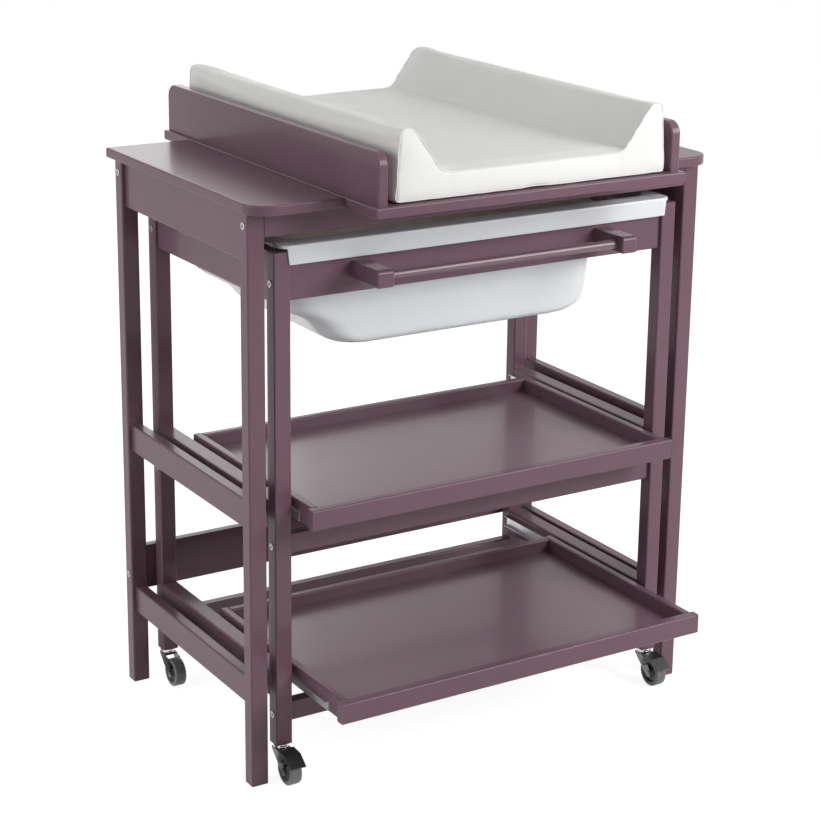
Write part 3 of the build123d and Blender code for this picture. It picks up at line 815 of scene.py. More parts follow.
@dataclass
class PullOutShelf(SubAssembly):
    """One shelf with its fascia, rims, panel and slides."""

    level: str = "middle"

    def dress(self) -> None:
        """Lacquers the wood and galvanises the slides."""
        self.paint(f"{self.level}_shelf_panel", Coat.PLUM_BOARD_ACROSS)
        self.paint(f"{self.level}_shelf_rims", Coat.PLUM_LACQUER_DEEP)
        self.paint(f"{self.level}_shelf_fascia", Coat.PLUM_LACQUER_ACROSS)
        self.paint(f"{self.level}_shelf_slides", Coat.RUNNER_STEEL)


@dataclass
class ChangingMat(SubAssembly):
    """Foam mat in white vinyl, with a wedge along each side and a bead round each end."""

    left: float = -243 * MM
    right: float = 272 * MM
    front: float = -341.5 * MM
    back: float = 378 * MM
    low: float = 967.3 * MM
    flat_height: float = 44 * MM
    wedge_height: float = 116 * MM
    lean: float = 8 * MM
    left_crest: float = 24 * MM
    right_crest: float = 25 * MM
    slope_run: float = 50 * MM
    valley: float = 8 * MM
    valley_rise: float = 3 * MM
    low_inset: float = 0.3 * MM
    rounds_mm: tuple[float, ...] = (4, 7, 6, 10, 12, 12, 10, 6, 7, 4)
    front_end_mm: tuple[Pair, ...] = ((0.0, 3.5), (1.2, 1.6), (3.5, 0.5), (7.0, 0.0))
    back_end_mm: tuple[Pair, ...] = ((12.0, 0.0), (7.0, 0.9), (3.5, 2.8), (1.2, 5.6), (0.0, 9.0))
    rows: int = 40
    form_step: float = 6 * MM
    shrink: float = 1.5 * MM
    voxel: float = 5 * MM
    swell_limit: float = 3.2 * MM
    pressure: float = 4.0
    cloth_quality: int = 4
    cloth_mass: float = 0.3
    cloth_stiffness: float = 3.0
    frames: int = 20
    floor_grip: float = 5 * MM
    seam_grip: float = 6 * MM
    seam_step: float = 4 * MM
    bulge_room: float = 2.5 * MM
    top_room: float = 4.5 * MM
    pull_reach: float = 26 * MM
    pull_depth: float = 1.3 * MM
    pull_scales: Triple = (9.0, 26.0, 14.0)
    pull_slice: float = 3.0
    hem_reach: float = 30 * MM
    hem_height: float = 14 * MM
    hem_depth: float = 1.2 * MM
    hem_scale: float = 30.0
    hem_slice: float = 7.0
    dent_depth: float = 0.5 * MM
    dent_scale: float = 7.0
    bead_radius: float = 0.9 * MM
    bead_step: float = 5 * MM
    bead_lift: float = 0.12

    def outline(self, inset: float, steps: int = 6) -> Outline:
        """Cross section of the mat.

        Args:
            inset: amount by which it is drawn in.
            steps: pieces in each rounded corner.

        Returns:
            Closed outline of X and Z pairs.
        """
        left, right = self.left + inset, self.right - inset
        low = self.low + min(inset, self.low_inset)
        flat = self.low + self.flat_height - inset
        peak = self.low + self.wedge_height - inset
        crest_left = left + self.lean + self.left_crest
        crest_right = right - self.lean - self.right_crest
        foot_left, foot_right = crest_left + self.slope_run, crest_right - self.slope_run
        foot = flat + self.valley_rise
        corners = [(left, low), (left + self.lean, peak), (crest_left, peak), (foot_left, foot),
                   (foot_left + self.valley, flat), (foot_right - self.valley, flat),
                   (foot_right, foot), (crest_right, peak), (right - self.lean, peak), (right, low)]
        return rounded_outline(corners, [r * MM for r in self.rounds_mm], steps)

    def foam(self) -> Piece:
        """Builds the foam's closed form, a little smaller than the finished mat.

        Returns:
            The form as a mesh piece.
        """
        loop = resampled(self.outline(self.shrink), self.form_step)
        front, back = self.front + self.shrink, self.back - self.shrink
        stations = [(front + at * MM, draw * MM) for at, draw in self.front_end_mm]
        stations += [(between(front, back, k / self.rows), 0.0) for k in range(1, self.rows)]
        stations += [(back - at * MM, draw * MM) for at, draw in self.back_end_mm]
        middle = Vector(((self.left + self.right) / 2, self.low + self.flat_height / 2))
        points = []
        for y, draw in stations:
            for x, z in loop:
                spot = Vector((x, z))
                drawn = spot - (spot - middle).normalized() * draw
                points.append(Vector((drawn.x, y, drawn.y)))
        faces = ring_faces(len(stations), len(loop))
        faces.append(list(range(len(loop))))
        faces.append([(len(stations) - 1) * len(loop) + i for i in range(len(loop))])
        return mesh_piece("mat_cushion", points, faces, self.finishes.get(Coat.COATED_VINYL),
                          NO_FOLD)

    def remesh(self, piece: Piece) -> None:
        """Gives the form an even skin of small faces.

        Args:
            piece: the form.
        """
        modifier = piece.modifiers.new("skin", "REMESH")
        modifier.mode = "VOXEL"
        modifier.voxel_size = self.voxel
        modifier.use_smooth_shade = True
        bake(piece)

    def held(self, point: Vector, seam: Outline) -> float:
        """How firmly a point of the skin is held.

        Args:
            point: the point.
            seam: outline of the end seams.

        Returns:
            1 at the floor and along the end seams, down to 0 away from them.
        """
        if point.z < self.low + self.floor_grip:
            return 1.0
        grip = self.seam_grip + self.shrink
        if min(abs(point.y - self.front), abs(self.back - point.y)) > grip:
            return 0.0
        away = min((Vector((point.x, point.z)) - Vector(spot)).length for spot in seam)
        return max(0.0, 1.0 - away / grip)

    def swell(self, piece: Piece) -> None:
        """Blows the skin up a little with a cloth simulation, so that it fills out between seams.

        Args:
            piece: the remeshed form.
        """
        seam = resampled(self.outline(self.shrink), self.seam_step)
        group = piece.vertex_groups.new(name="held")
        for vertex in piece.data.vertices:
            weight = self.held(vertex.co, seam)
            if weight > 0:
                group.add([vertex.index], weight, "REPLACE")
        start = [vertex.co.copy() for vertex in piece.data.vertices]
        cloth = piece.modifiers.new("swell", "CLOTH")
        settings = cloth.settings
        settings.vertex_group_mass = "held"
        settings.use_pressure = True
        settings.uniform_pressure_force = self.pressure
        settings.effector_weights.gravity = 0.0
        settings.quality = self.cloth_quality
        settings.mass = self.cloth_mass
        settings.bending_stiffness = self.cloth_stiffness
        cloth.collision_settings.use_collision = False
        cloth.point_cache.frame_start = 1
        cloth.point_cache.frame_end = self.frames
        for frame in range(1, self.frames + 1):
            bpy.context.scene.frame_set(frame)
        bake(piece)
        for vertex, origin in zip(piece.data.vertices, start):
            move = vertex.co - origin
            if move.length > self.swell_limit:
                vertex.co = origin + move.normalized() * self.swell_limit
        bpy.context.scene.frame_set(1)

    def crumple(self, piece: Piece) -> None:
        """Adds shallow pulls at the wedges' feet, a wavy lower front edge and faint dents.

        Args:
            piece: the swollen mat.
        """
        feet = ((self.right - self.lean - self.right_crest - self.slope_run, 1.0),
                (self.left + self.lean + self.left_crest + self.slope_run, -1.0))
        across, along, slant = self.pull_scales
        normals = [vertex.normal.copy() for vertex in piece.data.vertices]
        for vertex, normal in zip(piece.data.vertices, normals):
            p = vertex.co
            depth = 0.0
            for foot, turn in feet:
                fold = Vector((p.x * across * turn, p.y * along + p.x * slant * turn,
                               self.pull_slice))
                depth += (nearness(p.x - foot, self.pull_reach) * noise.noise(fold)
                          * self.pull_depth)
            hem = (nearness(p.y - self.front, self.hem_reach)
                   * nearness(p.z - self.low, self.hem_height))
            wave = Vector((p.x * self.hem_scale, 0.0, self.hem_slice))
            depth += hem * noise.noise(wave) * self.hem_depth
            depth += noise.noise(p * self.dent_scale) * self.dent_depth
            vertex.co = p + normal * depth

    def confine(self, piece: Piece) -> None:
        """Keeps every point between the tray's boards and off the base board.

        Args:
            piece: the mat.
        """
        for vertex in piece.data.vertices:
            p = vertex.co
            p.x = min(max(p.x, self.left - self.bulge_room), self.right + self.bulge_room)
            p.y = min(max(p.y, self.front - self.bulge_room), self.back + self.bulge_room)
            p.z = min(max(p.z, self.low), self.low + self.wedge_height + self.top_room)

    def bead(self, name: str, cushion: Piece, y: float) -> Piece:
        """Welded seam bead round one end of the mat.

        Args:
            name: name of the bead.
            cushion: the finished mat.
            y: place of the end.

        Returns:
            The bead.
        """
        tree = BVHTree.FromObject(cushion, bpy.context.evaluated_depsgraph_get())
        line = []
        for x, z in resampled(self.outline(0.0, steps=8), self.bead_step):
            spot = Vector((x, y, z))
            found = tree.find_nearest(spot)[0]
            line.append(found + (spot - found) * self.bead_lift)
        smooth = []
        for i, point in enumerate(line):
            smooth.append((line[i - 1] + point * 2 + line[(i + 1) % len(line)]) / 4)
        for point in smooth:
            point.z = max(point.z, self.low + self.bead_radius)
        return tube(name, smooth, self.bead_radius, self.finishes.get(Coat.COATED_VINYL))

    def build(self) -> list[Piece]:
        """Makes the mat and its two beads.

        Returns:
            The three pieces.
        """
        cushion = self.foam()
        self.remesh(cushion)
        self.swell(cushion)
        self.crumple(cushion)
        finer = cushion.modifiers.new("finer", "SUBSURF")
        finer.levels = finer.render_levels = 1
        bake(cushion)
        self.confine(cushion)
        settle(cushion, NO_FOLD)
        pieces = [cushion, self.bead("mat_front_bead", cushion, self.front),
                  self.bead("mat_back_bead", cushion, self.back)]
        for piece in pieces:
            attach(piece, "changing_mat")
        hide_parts("changing_mat")
        return pieces

    def dress(self) -> None:
        """Puts vinyl on the plain form too, which stays hidden."""
        self.paint("changing_mat", Coat.COATED_VINYL)


@dataclass(frozen=True)
class RimRing:
    """One closed ring of the tub's skin: an oblong with its own corner at each end."""

    x_lo: float
    x_hi: float
    y_lo: float
    y_hi: float
    left_corner: float
    right_corner: float
    z: float

    def points(self, long_steps: int, short_steps: int, corner_steps: int) -> list[Vector]:
        """Points of the ring, from the front right corner round by the back.

        Args:
            long_steps: steps along the front and back.
            short_steps: steps along the ends.
            corner_steps: steps in each corner.

        Returns:
            The points.
        """
        left, right = self.left_corner, self.right_corner
        corners = ((self.x_hi - right, self.y_lo + right, right),
                   (self.x_hi - right, self.y_hi - right, right),
                   (self.x_lo + left, self.y_hi - left, left),
                   (self.x_lo + left, self.y_lo + left, left))
        arcs = []
        for i, (x, y, radius) in enumerate(corners):
            angles = [math.radians(90 * (i - 1) + 90 * k / corner_steps)
                      for k in range(corner_steps + 1)]
            arcs.append([Vector((x + radius * math.cos(a), y + radius * math.sin(a), self.z))
                         for a in angles])
        result = []
        for i, arc in enumerate(arcs):
            result += arc
            goal = arcs[(i + 1) % len(arcs)][0]
            if i % 2:
                shares = [0.5 - 0.5 * math.cos(math.pi * k / long_steps)
                          for k in range(1, long_steps)]
            else:
                shares = [k / short_steps for k in range(1, short_steps)]
            result += [arc[-1].lerp(goal, share) for share in shares]
        return result


@dataclass
class Bathtub(SubAssembly):
    """White tub with a sloped left end, a deck with a soap dish, a flange and a front lip."""

    rim: float = 895 * MM
    middle_y: float = -0.5 * MM
    flange_half: float = 375 * MM
    flange_front: float = -231.5 * MM
    flange_back: float = 230.5 * MM
    flange_corner: float = 18 * MM
    edge_round: float = 2.5 * MM
    edge_depth: float = 5 * MM
    edge_step: float = 0.75
    lip_depth: float = 30.5 * MM
    lip_half: float = 356 * MM
    lip_flare: float = 9 * MM
    flare_speed: float = 1.6
    front_band: float = 1 * MM
    reach: float = 348.5 * MM
    half_depth: float = 191.5 * MM
    left_corner: float = 41.5 * MM
    right_corner: float = 26.5 * MM
    rim_round: float = 5 * MM
    rim_land: float = 2 * MM
    top_draft: float = 0.2 * MM
    top_drop: float = 4 * MM
    wall_draft: float = 0.3 * MM
    deck: float = 872 * MM
    deck_end: float = 259 * MM
    deck_rise: float = 1 * MM
    deck_fall: float = 1.6 * MM
    deck_fillet: float = 4 * MM
    deck_round: float = 5 * MM
    deck_rows: int = 26
    deck_band: float = 2 * MM
    basin_right: float = 263 * MM
    outer_wall: float = 3.5 * MM
    floor: float = 703.5 * MM
    floor_dip: float = 1.2 * MM
    dip_reach: float = 20 * MM
    floor_step: float = 0.2 * MM
    corner_loss: float = 0.25
    least_corner: float = 4 * MM
    least_end: float = 1 * MM
    wall: float = 3 * MM
    soap_centre: Pair = (302 * MM, 58 * MM)
    soap_size: Pair = (66 * MM, 110 * MM)
    soap_corner: float = 26 * MM
    soap_slope: float = 9 * MM
    soap_depth: float = 9 * MM
    rib_size: Triple = (4 * MM, 402 * MM, 5.4 * MM)
    rib_x: float = 370.5 * MM
    rib_z: float = 887.7 * MM
    rib_round: float = 0.7 * MM
    fold: float = 50.0
    long_steps: int = 96
    short_steps: int = 76
    corner_steps: int = 8
    round_steps: int = 4
    fillet_steps: int = 3
    heights: tuple[float, ...] = (0.84, 0.76, 0.68, 0.6, 0.52, 0.45, 0.385, 0.34, 0.29, 0.24,
                                  0.195, 0.15, 0.12, 0.095, 0.07, 0.05, 0.03, 0.015, 0.005)
    floor_insets_mm: tuple[float, ...] = (2, 6, 14, 30, 60, 100, 135)
    shares: tuple[tuple[float, float, float, float], ...] = (
        (0.000, 0.619, 0.747, 0.835), (0.030, 0.685, 0.863, 0.905), (0.095, 0.742, 0.950, 0.925),
        (0.195, 0.790, 0.975, 0.930), (0.290, 0.862, 0.980, 0.936), (0.385, 0.951, 0.982, 0.942),
        (0.905, 0.997, 0.996, 0.995))

    def share(self, height: float, column: int) -> float:
        """Share of the tub's reach at one height, on a smooth line through the table.

        Args:
            height: from 0 at the floor to about 0.9 at the deck.
            column: 1 for left, 2 for right, 3 for depth.

        Returns:
            The share.
        """
        rows = self.shares
        i = max(k for k in range(len(rows) - 1) if rows[k][0] <= max(height, 0.0))
        slopes = []
        for k in (i, i + 1):
            before, after = max(k - 1, 0), min(k + 1, len(rows) - 1)
            rises = [(rows[b][column] - rows[a][column]) / (rows[b][0] - rows[a][0])
                     for a, b in ((before, k), (k, after)) if a != b]
            one, two = rises[0], rises[-1]
            slopes.append(2 * one * two / (one + two) if one * two > 0 else 0.0)
        width = rows[i + 1][0] - rows[i][0]
        t = min(1.0, (height - rows[i][0]) / width)
        a, b = rows[i][column], rows[i + 1][column]
        return ((2 * t ** 3 - 3 * t ** 2 + 1) * a + (t ** 3 - 2 * t ** 2 + t) * width * slopes[0]
                + (3 * t ** 2 - 2 * t ** 3) * b + (t ** 3 - t ** 2) * width * slopes[1])

    def oblong(self, grow: float, z: float, x_hi: float | None = None) -> RimRing:
        """Ring of the tub's opening, grown outward.

        Args:
            grow: amount by which it is larger than the opening.
            z: height.
            x_hi: right end, where it differs.

        Returns:
            The ring.
        """
        right = self.reach if x_hi is None else x_hi
        return RimRing(-self.reach - grow, right + grow, self.middle_y - self.half_depth - grow,
                       self.middle_y + self.half_depth + grow, self.left_corner + grow,
                       self.right_corner + grow, z)

    def basin_ring(self, height: float) -> RimRing:
        """Ring of the basin at one share of its height.

        Args:
            height: from 0 at the floor to about 0.9 at the deck.

        Returns:
            The ring.
        """
        span = (self.rim - self.edge_depth) - self.floor
        half = (self.half_depth + self.outer_wall) * self.share(height, 3) - self.outer_wall
        left = (self.reach + self.outer_wall) * self.share(height, 1) - self.outer_wall
        right = self.basin_right * self.share(height, 2) - self.outer_wall
        return RimRing(-left, right, self.middle_y - half, self.middle_y + half, self.left_corner,
                       self.left_corner, self.floor + span * height)

    def flange_rings(self) -> list[RimRing]:
        """Rings from the flange's outer edge over its top to the opening.

        Returns:
            The rings.
        """
        rings = [self._flange(0.0, self.rim - drop)
                 for drop in (self.edge_depth, self.edge_depth * self.edge_step, self.edge_round)]
        angles = quarter_turn(self.round_steps)
        for angle in angles[1:]:
            rings.append(self._flange(self.edge_round * (1 - math.cos(angle)),
                                      self.rim - self.edge_round * (1 - math.sin(angle))))
        rings.append(self.oblong(self.rim_round + self.rim_land, self.rim))
        for angle in angles:
            rings.append(self.oblong(self.rim_round * (1 - math.sin(angle)),
                                     self.rim - self.rim_round * (1 - math.cos(angle))))
        return rings

    def _flange(self, inset: float, z: float) -> RimRing:
        """Ring of the flange.

        Args:
            inset: amount by which it is drawn in.
            z: height.

        Returns:
            The ring.
        """
        half, corner = self.flange_half - inset, self.flange_corner - inset
        return RimRing(-half, half, self.flange_front + inset, self.flange_back - inset, corner,
                       corner, z)

    def deck_rings(self) -> list[RimRing]:
        """Rings down the opening's wall and across the deck to the basin's edge.

        Returns:
            The rings.
        """
        top = self.rim - self.rim_round
        base = self.deck + self.deck_rise
        rings = [self.oblong(-self.top_draft, top - self.top_drop)]
        for angle in quarter_turn(self.fillet_steps):
            rings.append(self.oblong(-self.wall_draft,
                                     base + self.deck_fillet * (1 - math.sin(angle)),
                                     self.reach - self.deck_fillet * (1 - math.cos(angle))))
        edge = self.basin_ring(self.shares[-1][0])
        start, end = self.reach - self.deck_fillet, self.deck_end + self.deck_round
        near = self.half_depth - self.wall_draft
        for k in range(1, self.deck_rows + 1):
            t = k / self.deck_rows
            rings.append(RimRing(between(self.wall_draft - self.reach, edge.x_lo, t),
                                 between(start, end, t),
                                 between(self.middle_y - near, edge.y_lo, t),
                                 between(self.middle_y + near, edge.y_hi, t), self.left_corner,
                                 between(self.right_corner, self.left_corner, t),
                                 base - self.deck_fall * t))
        return rings

    def basin_rings(self) -> list[RimRing]:
        """Rings over the deck's rounded edge and down the basin to its floor.

        Returns:
            The rings.
        """
        edge_z = self.deck + self.deck_rise - self.deck_fall
        span = self.rim - self.edge_depth - self.floor
        rings = []
        for angle in quarter_turn(self.round_steps)[1:]:
            height = (edge_z - self.deck_round * (1 - math.cos(angle)) - self.floor) / span
            ring = self.basin_ring(height)
            right = self.deck_end + self.deck_round * (1 - math.sin(angle))
            rings.append(replace(ring, x_hi=max(right, ring.x_hi)))
        return rings + [self.basin_ring(height) for height in self.heights]

    def floor_rings(self) -> list[RimRing]:
        """Rings that draw in over the basin's floor, which falls slightly to its middle.

        Returns:
            The rings.
        """
        base = self.basin_ring(0.0)
        half_y = (base.y_hi - base.y_lo) / 2
        rings = []
        for draw in (inset * MM for inset in self.floor_insets_mm):
            corner = max(self.left_corner - draw * self.corner_loss, self.least_corner)
            corner = min(corner, half_y - draw - self.least_end)
            drop = self.floor_step + self.floor_dip * (1 - math.exp(-draw / self.dip_reach))
            rings.append(RimRing(base.x_lo + draw, base.x_hi - draw, base.y_lo + draw,
                                 base.y_hi - draw, corner, corner, base.z - drop))
        return rings

    def sunk(self, point: Vector) -> float:
        """Depth of the soap dish under a point of the deck.

        Args:
            point: the point.

        Returns:
            The depth.
        """
        dx = abs(point.x - self.soap_centre[0]) - self.soap_size[0] / 2 + self.soap_corner
        dy = abs(point.y - self.soap_centre[1]) - self.soap_size[1] / 2 + self.soap_corner
        away = math.hypot(max(dx, 0), max(dy, 0)) + min(max(dx, dy), 0) - self.soap_corner
        t = min(max(-away / self.soap_slope, 0.0), 1.0)
        return self.soap_depth * t * t * (3 - 2 * t)

    def hung(self, point: Vector) -> float:
        """How far the flange's edge hangs at a point: deep along the lip, shallow elsewhere.

        Args:
            point: the point.

        Returns:
            The depth below the rim.
        """
        if point.y > self.flange_front + self.front_band:
            return self.edge_depth
        t = min(max((self.lip_half + self.lip_flare - abs(point.x)) / self.lip_flare, 0.0), 1.0)
        full = 1 - (1 - min(t * self.flare_speed, 1.0)) ** 3
        return self.edge_depth + (self.lip_depth - self.edge_depth) * full

    def skin(self) -> Piece:
        """Builds the tub's skin from its rings and gives it its wall.

        Returns:
            The tub.
        """
        top = self.flange_rings()
        rings = top + self.deck_rings() + self.basin_rings() + self.floor_rings()
        rows = [ring.points(self.long_steps, self.short_steps, self.corner_steps)
                for ring in rings]
        for point in rows[0]:
            point.z = self.rim - self.hung(point)
        for point in rows[1]:
            point.z = self.rim - between(self.edge_round, self.hung(point), 0.5)
        for row in rows[len(top):]:
            for point in row:
                if abs(point.z - self.deck) < self.deck_band and point.x > self.deck_end:
                    point.z -= self.sunk(point)
        count = len(rows[0])
        points = [point for row in rows for point in row]
        points.append(sum(rows[-1], Vector()) / count)
        last = (len(rows) - 1) * count
        faces = ring_faces(len(rows), count)
        faces += [[last + i, last + (i + 1) % count, len(points) - 1] for i in range(count)]
        tub = mesh_piece("tub_shell", points, faces, self.finishes.get(Coat.TUB_WHITE), self.fold)
        self._face_up(tub)
        wall = tub.modifiers.new("wall", "SOLIDIFY")
        wall.thickness = self.wall
        wall.offset = -1.0
        bake(tub)
        settle(tub, self.fold)
        return tub

    def _face_up(self, tub: Piece) -> None:
        """Turns the skin's faces so that the floor looks up.

        Args:
            tub: the skin.
        """
        shape = bmesh.new()
        shape.from_mesh(tub.data)
        shape.faces.ensure_lookup_table()
        if shape.faces[-1].normal.z < 0:
            bmesh.ops.reverse_faces(shape, faces=shape.faces)
        shape.to_mesh(tub.data)
        shape.free()

    def ribs(self) -> Piece:
        """Builds the two long ribs by which the tub stands on the side aprons.

        Returns:
            Both ribs as one piece.
        """
        shape = bmesh.new()
        size = Matrix.Diagonal((*self.rib_size, 1.0))
        for side in Side:
            place = Matrix.Translation((side.value * self.rib_x, self.middle_y, self.rib_z))
            bmesh.ops.create_cube(shape, size=1.0, matrix=place @ size)
        bmesh.ops.bevel(shape, geom=list(shape.edges), offset=self.rib_round, segments=2,
                        affect="EDGES")
        mesh = bpy.data.meshes.new("tub_ribs")
        shape.to_mesh(mesh)
        shape.free()
        return as_piece(mesh, self.finishes.get(Coat.TUB_WHITE))

    def build(self) -> list[Piece]:
        """Makes the tub and its ribs.

        Returns:
            The two pieces.
        """
        pieces = [self.skin(), self.ribs()]
        for piece in pieces:
            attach(piece, "bathtub")
        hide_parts("bathtub")
        return pieces

    def dress(self) -> None:
        """Colours the plain tub, which stays hidden, and the plug."""
        self.paint("bathtub", Coat.TUB_WHITE)
        self.paint("bath_plug", Coat.PLUG_GREY)


@dataclass
class SwivelCaster(SubAssembly):
    """One caster with its fork, two-part wheel and, in front, its brake pedal."""

    corner: str = "front_left"
    radius: float = 25 * MM
    width: float = 20 * MM
    tread: float = 6 * MM
    shoulder: float = 3 * MM
    groove_half: float = 0.6 * MM
    groove_depth: float = 0.5 * MM
    groove_round: float = 0.3 * MM
    tyre_edge: float = 0.6 * MM
    tyre_fold: float = 55.0
    hub_width: float = 15 * MM
    hub_overlap: float = 0.2 * MM
    hub_step: float = 2 * MM
    hub_inset: float = 0.3 * MM
    hub_edge: float = 0.6 * MM
    hub_rounds_mm: tuple[float, ...] = (0.3, 0.8, 1.2, 1.2, 0.8, 0.2)
    hub_fold: float = 45.0
    bore: float = 3.05 * MM
    boss: float = 7 * MM
    dish: float = 9 * MM
    rivet_reach: float = 12.4 * MM
    rivet_radius: float = 4.6 * MM
    rivet_rise: float = 1.25 * MM
    rivet_tip: float = 1.3 * MM
    rivet_sides: int = 24
    rivet_rows: int = 5

    def wheel_centre(self) -> Vector:
        """Middle of the wheel, read from the frame."""
        low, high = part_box(f"caster_wheel_{self.corner}")
        return (low + high) / 2

    def tyre(self) -> Piece:
        """Builds the grey tread with rounded shoulders and a shallow groove.

        Returns:
            The tread.
        """
        half, inner, groove = self.width / 2, self.radius - self.tread, self.groove_half
        corners = [(-half, inner), (-half, self.radius), (-groove, self.radius),
                   (0.0, self.radius - self.groove_depth), (groove, self.radius),
                   (half, self.radius), (half, inner)]
        rounds = [self.groove_round] * 3
        radii = [self.tyre_edge, self.shoulder, *rounds, self.shoulder, self.tyre_edge]
        return turned(f"tyre_{self.corner}", self.wheel_centre(),
                      rounded_outline(corners, radii, steps=4),
                      self.finishes.get(Coat.TYRE_GREY), crease_degrees=self.tyre_fold)

    def hub(self) -> Piece:
        """Builds the dark hub with a dished face and a raised boss.

        Returns:
            The hub.
        """
        outer = self.radius - self.tread + self.hub_overlap
        face = self.hub_width / 2 - self.hub_step
        wide = self.width / 2 - self.hub_inset
        shelf = wide - self.hub_edge
        right = [(shelf, outer), (shelf, outer - self.hub_step),
                 (face, outer - 2 * self.hub_step), (face, self.dish), (wide, self.boss),
                 (wide, self.bore)]
        left = [(-x, r) for x, r in reversed(right)]
        radii = [r * MM for r in self.hub_rounds_mm]
        return turned(f"hub_{self.corner}", self.wheel_centre(),
                      rounded_outline(right + left, radii + radii[::-1], steps=3),
                      self.finishes.get(Coat.HUB_DARK), crease_degrees=self.hub_fold)

    def rivets(self) -> Piece:
        """Builds the dark domed ends of the axle.

        Returns:
            Both ends as one piece.
        """
        centre = self.wheel_centre()
        count = self.rivet_sides
        points, faces = [], []
        for side in Side:
            base = len(points)
            for angle in quarter_turn(self.rivet_rows)[:-1]:
                r = self.rivet_radius * math.cos(angle)
                x = side.value * (self.rivet_reach + self.rivet_rise * math.sin(angle))
                for turn in (math.tau * i / count for i in range(count)):
                    points.append(centre + Vector((x, r * math.cos(turn), r * math.sin(turn))))
            points.append(centre + Vector((side.value * (self.rivet_reach + self.rivet_tip), 0, 0)))
            faces += [[base + n for n in face] for face in ring_faces(self.rivet_rows, count)]
            top = base + (self.rivet_rows - 1) * count
            faces += [[top + i, top + (i + 1) % count, len(points) - 1] for i in range(count)]
            faces.append([base + i for i in range(count)])
        return mesh_piece(f"rivets_{self.corner}", points, faces,
                          self.finishes.get(Coat.RIVET_DARK), BEAD_DEGREES)

    def build(self) -> list[Piece]:
        """Makes the tread, hub and axle ends.

        Returns:
            The three pieces.
        """
        tyre, hub, rivets = self.tyre(), self.hub(), self.rivets()
        for piece in (tyre, hub):
            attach(piece, f"wheel_{self.corner}")
        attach(rivets, f"caster_{self.corner}")
        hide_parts(f"caster_wheel_{self.corner}")
        return [tyre, hub, rivets]

    def dress(self) -> None:
        """Polishes the fork and blackens the pedal."""
        self.paint(f"caster_fork_{self.corner}", Coat.FORK_STEEL)
        self.paint(f"caster_wheel_{self.corner}", Coat.TYRE_GREY)
        if self.corner.startswith("front"):
            self.paint(f"brake_pedal_{self.corner}", Coat.PEDAL_BLACK)


@dataclass
class StemSet(SubAssembly):
    """Stems, collars and two bright rings round each collar, between caster and leg."""

    collar: float = 11.7 * MM
    rings: tuple[Triple, ...] = ((0.1 * MM, 3.6 * MM, 14.4 * MM),
                                (4.3 * MM, 6.4 * MM, 13.4 * MM))
    ring_round: float = 0.7 * MM
    inner_round: float = 0.1 * MM
    ring_sides: int = 48

    def build(self) -> list[Piece]:
        """Makes both rings of each collar, just below the leg's end.

        Returns:
            The eight rings.
        """
        pieces = []
        radii = [self.inner_round, self.ring_round, self.ring_round, self.inner_round]
        for corner in CORNERS:
            low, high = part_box(f"trolley_leg_{corner}")
            centre = Vector(((low.x + high.x) / 2, (low.y + high.y) / 2, low.z))
            for i, (top, foot, reach) in enumerate(self.rings):
                corners = [(-foot, self.collar), (-foot, reach), (-top, reach), (-top, self.collar)]
                pieces.append(turned(f"collar_ring_{i + 1}_{corner}", centre,
                                     rounded_outline(corners, radii, steps=3),
                                     self.finishes.get(Coat.COLLAR_CHROME), axis=Axis.UPRIGHT,
                                     segments=self.ring_sides))
        for piece in pieces:
            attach(piece, "trolley")
        return pieces

    def dress(self) -> None:
        """Chromes the stems and collars."""
        self.paint("caster_stems", Coat.COLLAR_CHROME)


# Studio

@dataclass(frozen=True)
class SoftLamp:
    """One large soft lamp that looks at a point."""

    name: str
    place: Triple
    size: float
    power: float
    goal: Triple = (0.0, 0.0, 0.6)

    def hang(self) -> None:
        """Puts the lamp into the scene."""
        data = bpy.data.lights.new(self.name, "AREA")
        data.shape = "SQUARE"
        data.size = self.size
        data.energy = self.power
        lamp = bpy.data.objects.new(self.name, data)
        lamp.location = self.place
        lamp.rotation_mode = "QUATERNION"
        way = Vector(self.goal) - Vector(self.place)
        lamp.rotation_quaternion = way.to_track_quat("-Z", "Y")
        bpy.context.scene.collection.objects.link(lamp)


@dataclass(frozen=True)
class Viewpoint:
    """Camera of the photograph."""

    place: Triple = (-1.840932, -2.971212, 1.644111)
    yaw: float = -31.492
    pitch: float = 16.207
    roll: float = 0.631
    focal_pixels: float = 2103.858
    frame_pixels: float = 820.0
    sensor: float = 36.0
    shift: Pair = (0.0122, -0.0793)
    near_limit: float = 0.1
    far_limit: float = 60.0

    def set_up(self) -> None:
        """Makes the camera and gives it to the scene."""
        yaw, pitch, roll = (math.radians(a) for a in (self.yaw, self.pitch, self.roll))
        back = Vector((math.sin(yaw) * math.cos(pitch), -math.cos(yaw) * math.cos(pitch),
                       math.sin(pitch)))
        right = (-back).cross(Vector((0, 0, 1))).normalized()
        up = right.cross(-back).normalized()
        leaning = right * math.cos(roll) + up * math.sin(roll)
        rising = up * math.cos(roll) - right * math.sin(roll)
        data = bpy.data.cameras.new("viewpoint")
        data.sensor_width = self.sensor
        data.lens = self.focal_pixels / self.frame_pixels * self.sensor
        data.shift_x, data.shift_y = self.shift
        data.clip_start, data.clip_end = self.near_limit, self.far_limit
        camera = bpy.data.objects.new("viewpoint", data)
        turn = Matrix((leaning, rising, back)).transposed()
        camera.matrix_world = Matrix.Translation(self.place) @ turn.to_4x4()
        bpy.context.scene.collection.objects.link(camera)
        bpy.context.scene.camera = camera


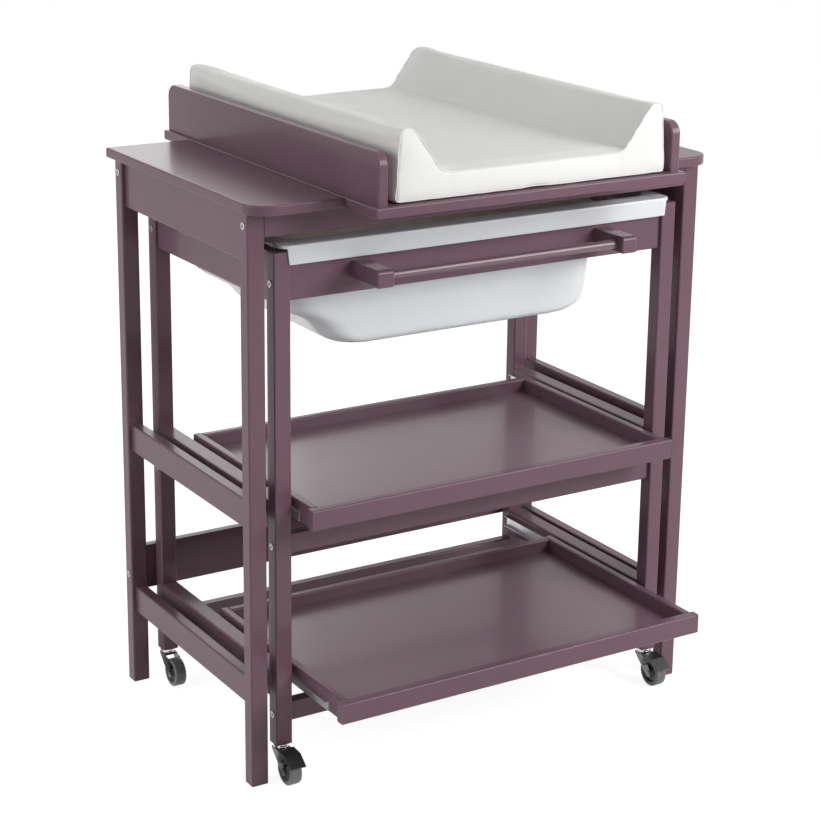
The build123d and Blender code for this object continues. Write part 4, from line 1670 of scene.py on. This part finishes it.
@dataclass
class Studio:
    """White room: pale floor, even sky and soft lamps."""

    sky: float = 0.27
    floor_tone: float = 0.80
    floor_seen: float = 0.46
    floor_lift: float = 0.88
    floor_half: float = 14.0
    floor_clouds: float = 2.0
    floor_rough: Pair = (0.85, 0.95)

    def floor(self) -> None:
        """Lays a pale floor that keeps the object's shadow and reads as white."""
        corners = [Vector((x * self.floor_half, y * self.floor_half, 0.0))
                   for x, y in ((-1, -1), (1, -1), (1, 1), (-1, 1))]
        board = ShaderBoard("studio_floor")
        rough = board.span(board.cloud(board.place(), self.floor_clouds), *self.floor_rough)
        board.set(Base_Color=(self.floor_tone,) * 3 + (1.0,), Specular_IOR_Level=0.1,
                  Roughness=rough)
        paper = board.add("ShaderNodeBsdfDiffuse", {"Color": (self.floor_seen,) * 3 + (1.0,)})
        glow = board.add("ShaderNodeEmission", {"Strength": self.floor_lift})
        lit = board.add("ShaderNodeAddShader")
        board.feed(lit.inputs[0], paper.outputs[0])
        board.feed(lit.inputs[1], glow.outputs[0])
        board.show(board.by_sight(board.shader.outputs[0], lit.outputs[0]))
        ground = mesh_piece("studio_ground", corners, [[0, 1, 2, 3]], board.material)

    def air(self) -> None:
        """Fills the room with even light and a white background."""
        world = bpy.data.worlds.new("studio_air")
        board = NodeBoard(world, "ShaderNodeOutputWorld")
        even = board.add("ShaderNodeBackground", {"Color": WHITE, "Strength": self.sky})
        seen = board.add("ShaderNodeBackground", {"Color": WHITE, "Strength": 1.0})
        board.show(board.by_sight(even.outputs[0], seen.outputs[0]))
        bpy.context.scene.world = world

    def lamps(self) -> None:
        """Hangs the key lamp at the front right, one at the left, one above and one behind."""
        for lamp in (SoftLamp("key_lamp", (1.6, -2.3, 1.9), size=1.4, power=70.0),
                     SoftLamp("left_lamp", (-3.5, 0.6, 1.6), size=2.4, power=47.0),
                     SoftLamp("top_lamp", (0.2, -1.2, 3.2), size=0.9, power=7.0),
                     SoftLamp("back_fill", (0.6, 3.8, 2.0), size=2.4, power=22.0)):
            lamp.hang()

    def set_up(self) -> None:
        """Prepares floor, light and colour handling."""
        self.floor()
        self.air()
        self.lamps()
        bpy.context.scene.view_settings.view_transform = "Standard"


def main() -> None:
    """Builds every sub-assembly in order, then the studio."""
    logging.basicConfig(level=logging.INFO, format="%(message)s")
    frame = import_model()
    finishes = FinishBook()
    nodes = frame["nodes"]
    groups: list[SubAssembly] = [
        OuterTable(finishes, nodes), ChangingTray(finishes, nodes), ChangingMat(finishes, nodes),
        TrolleyFrame(finishes, nodes), PullOutShelf(finishes, nodes, "middle"),
        PullOutShelf(finishes, nodes, "bottom"), Bathtub(finishes, nodes), StemSet(finishes, nodes)]
    groups += [SwivelCaster(finishes, nodes, corner) for corner in CORNERS]
    for group in groups:
        group.run()
    Studio().set_up()
    Viewpoint().set_up()


if __name__ == "__main__":
    main()
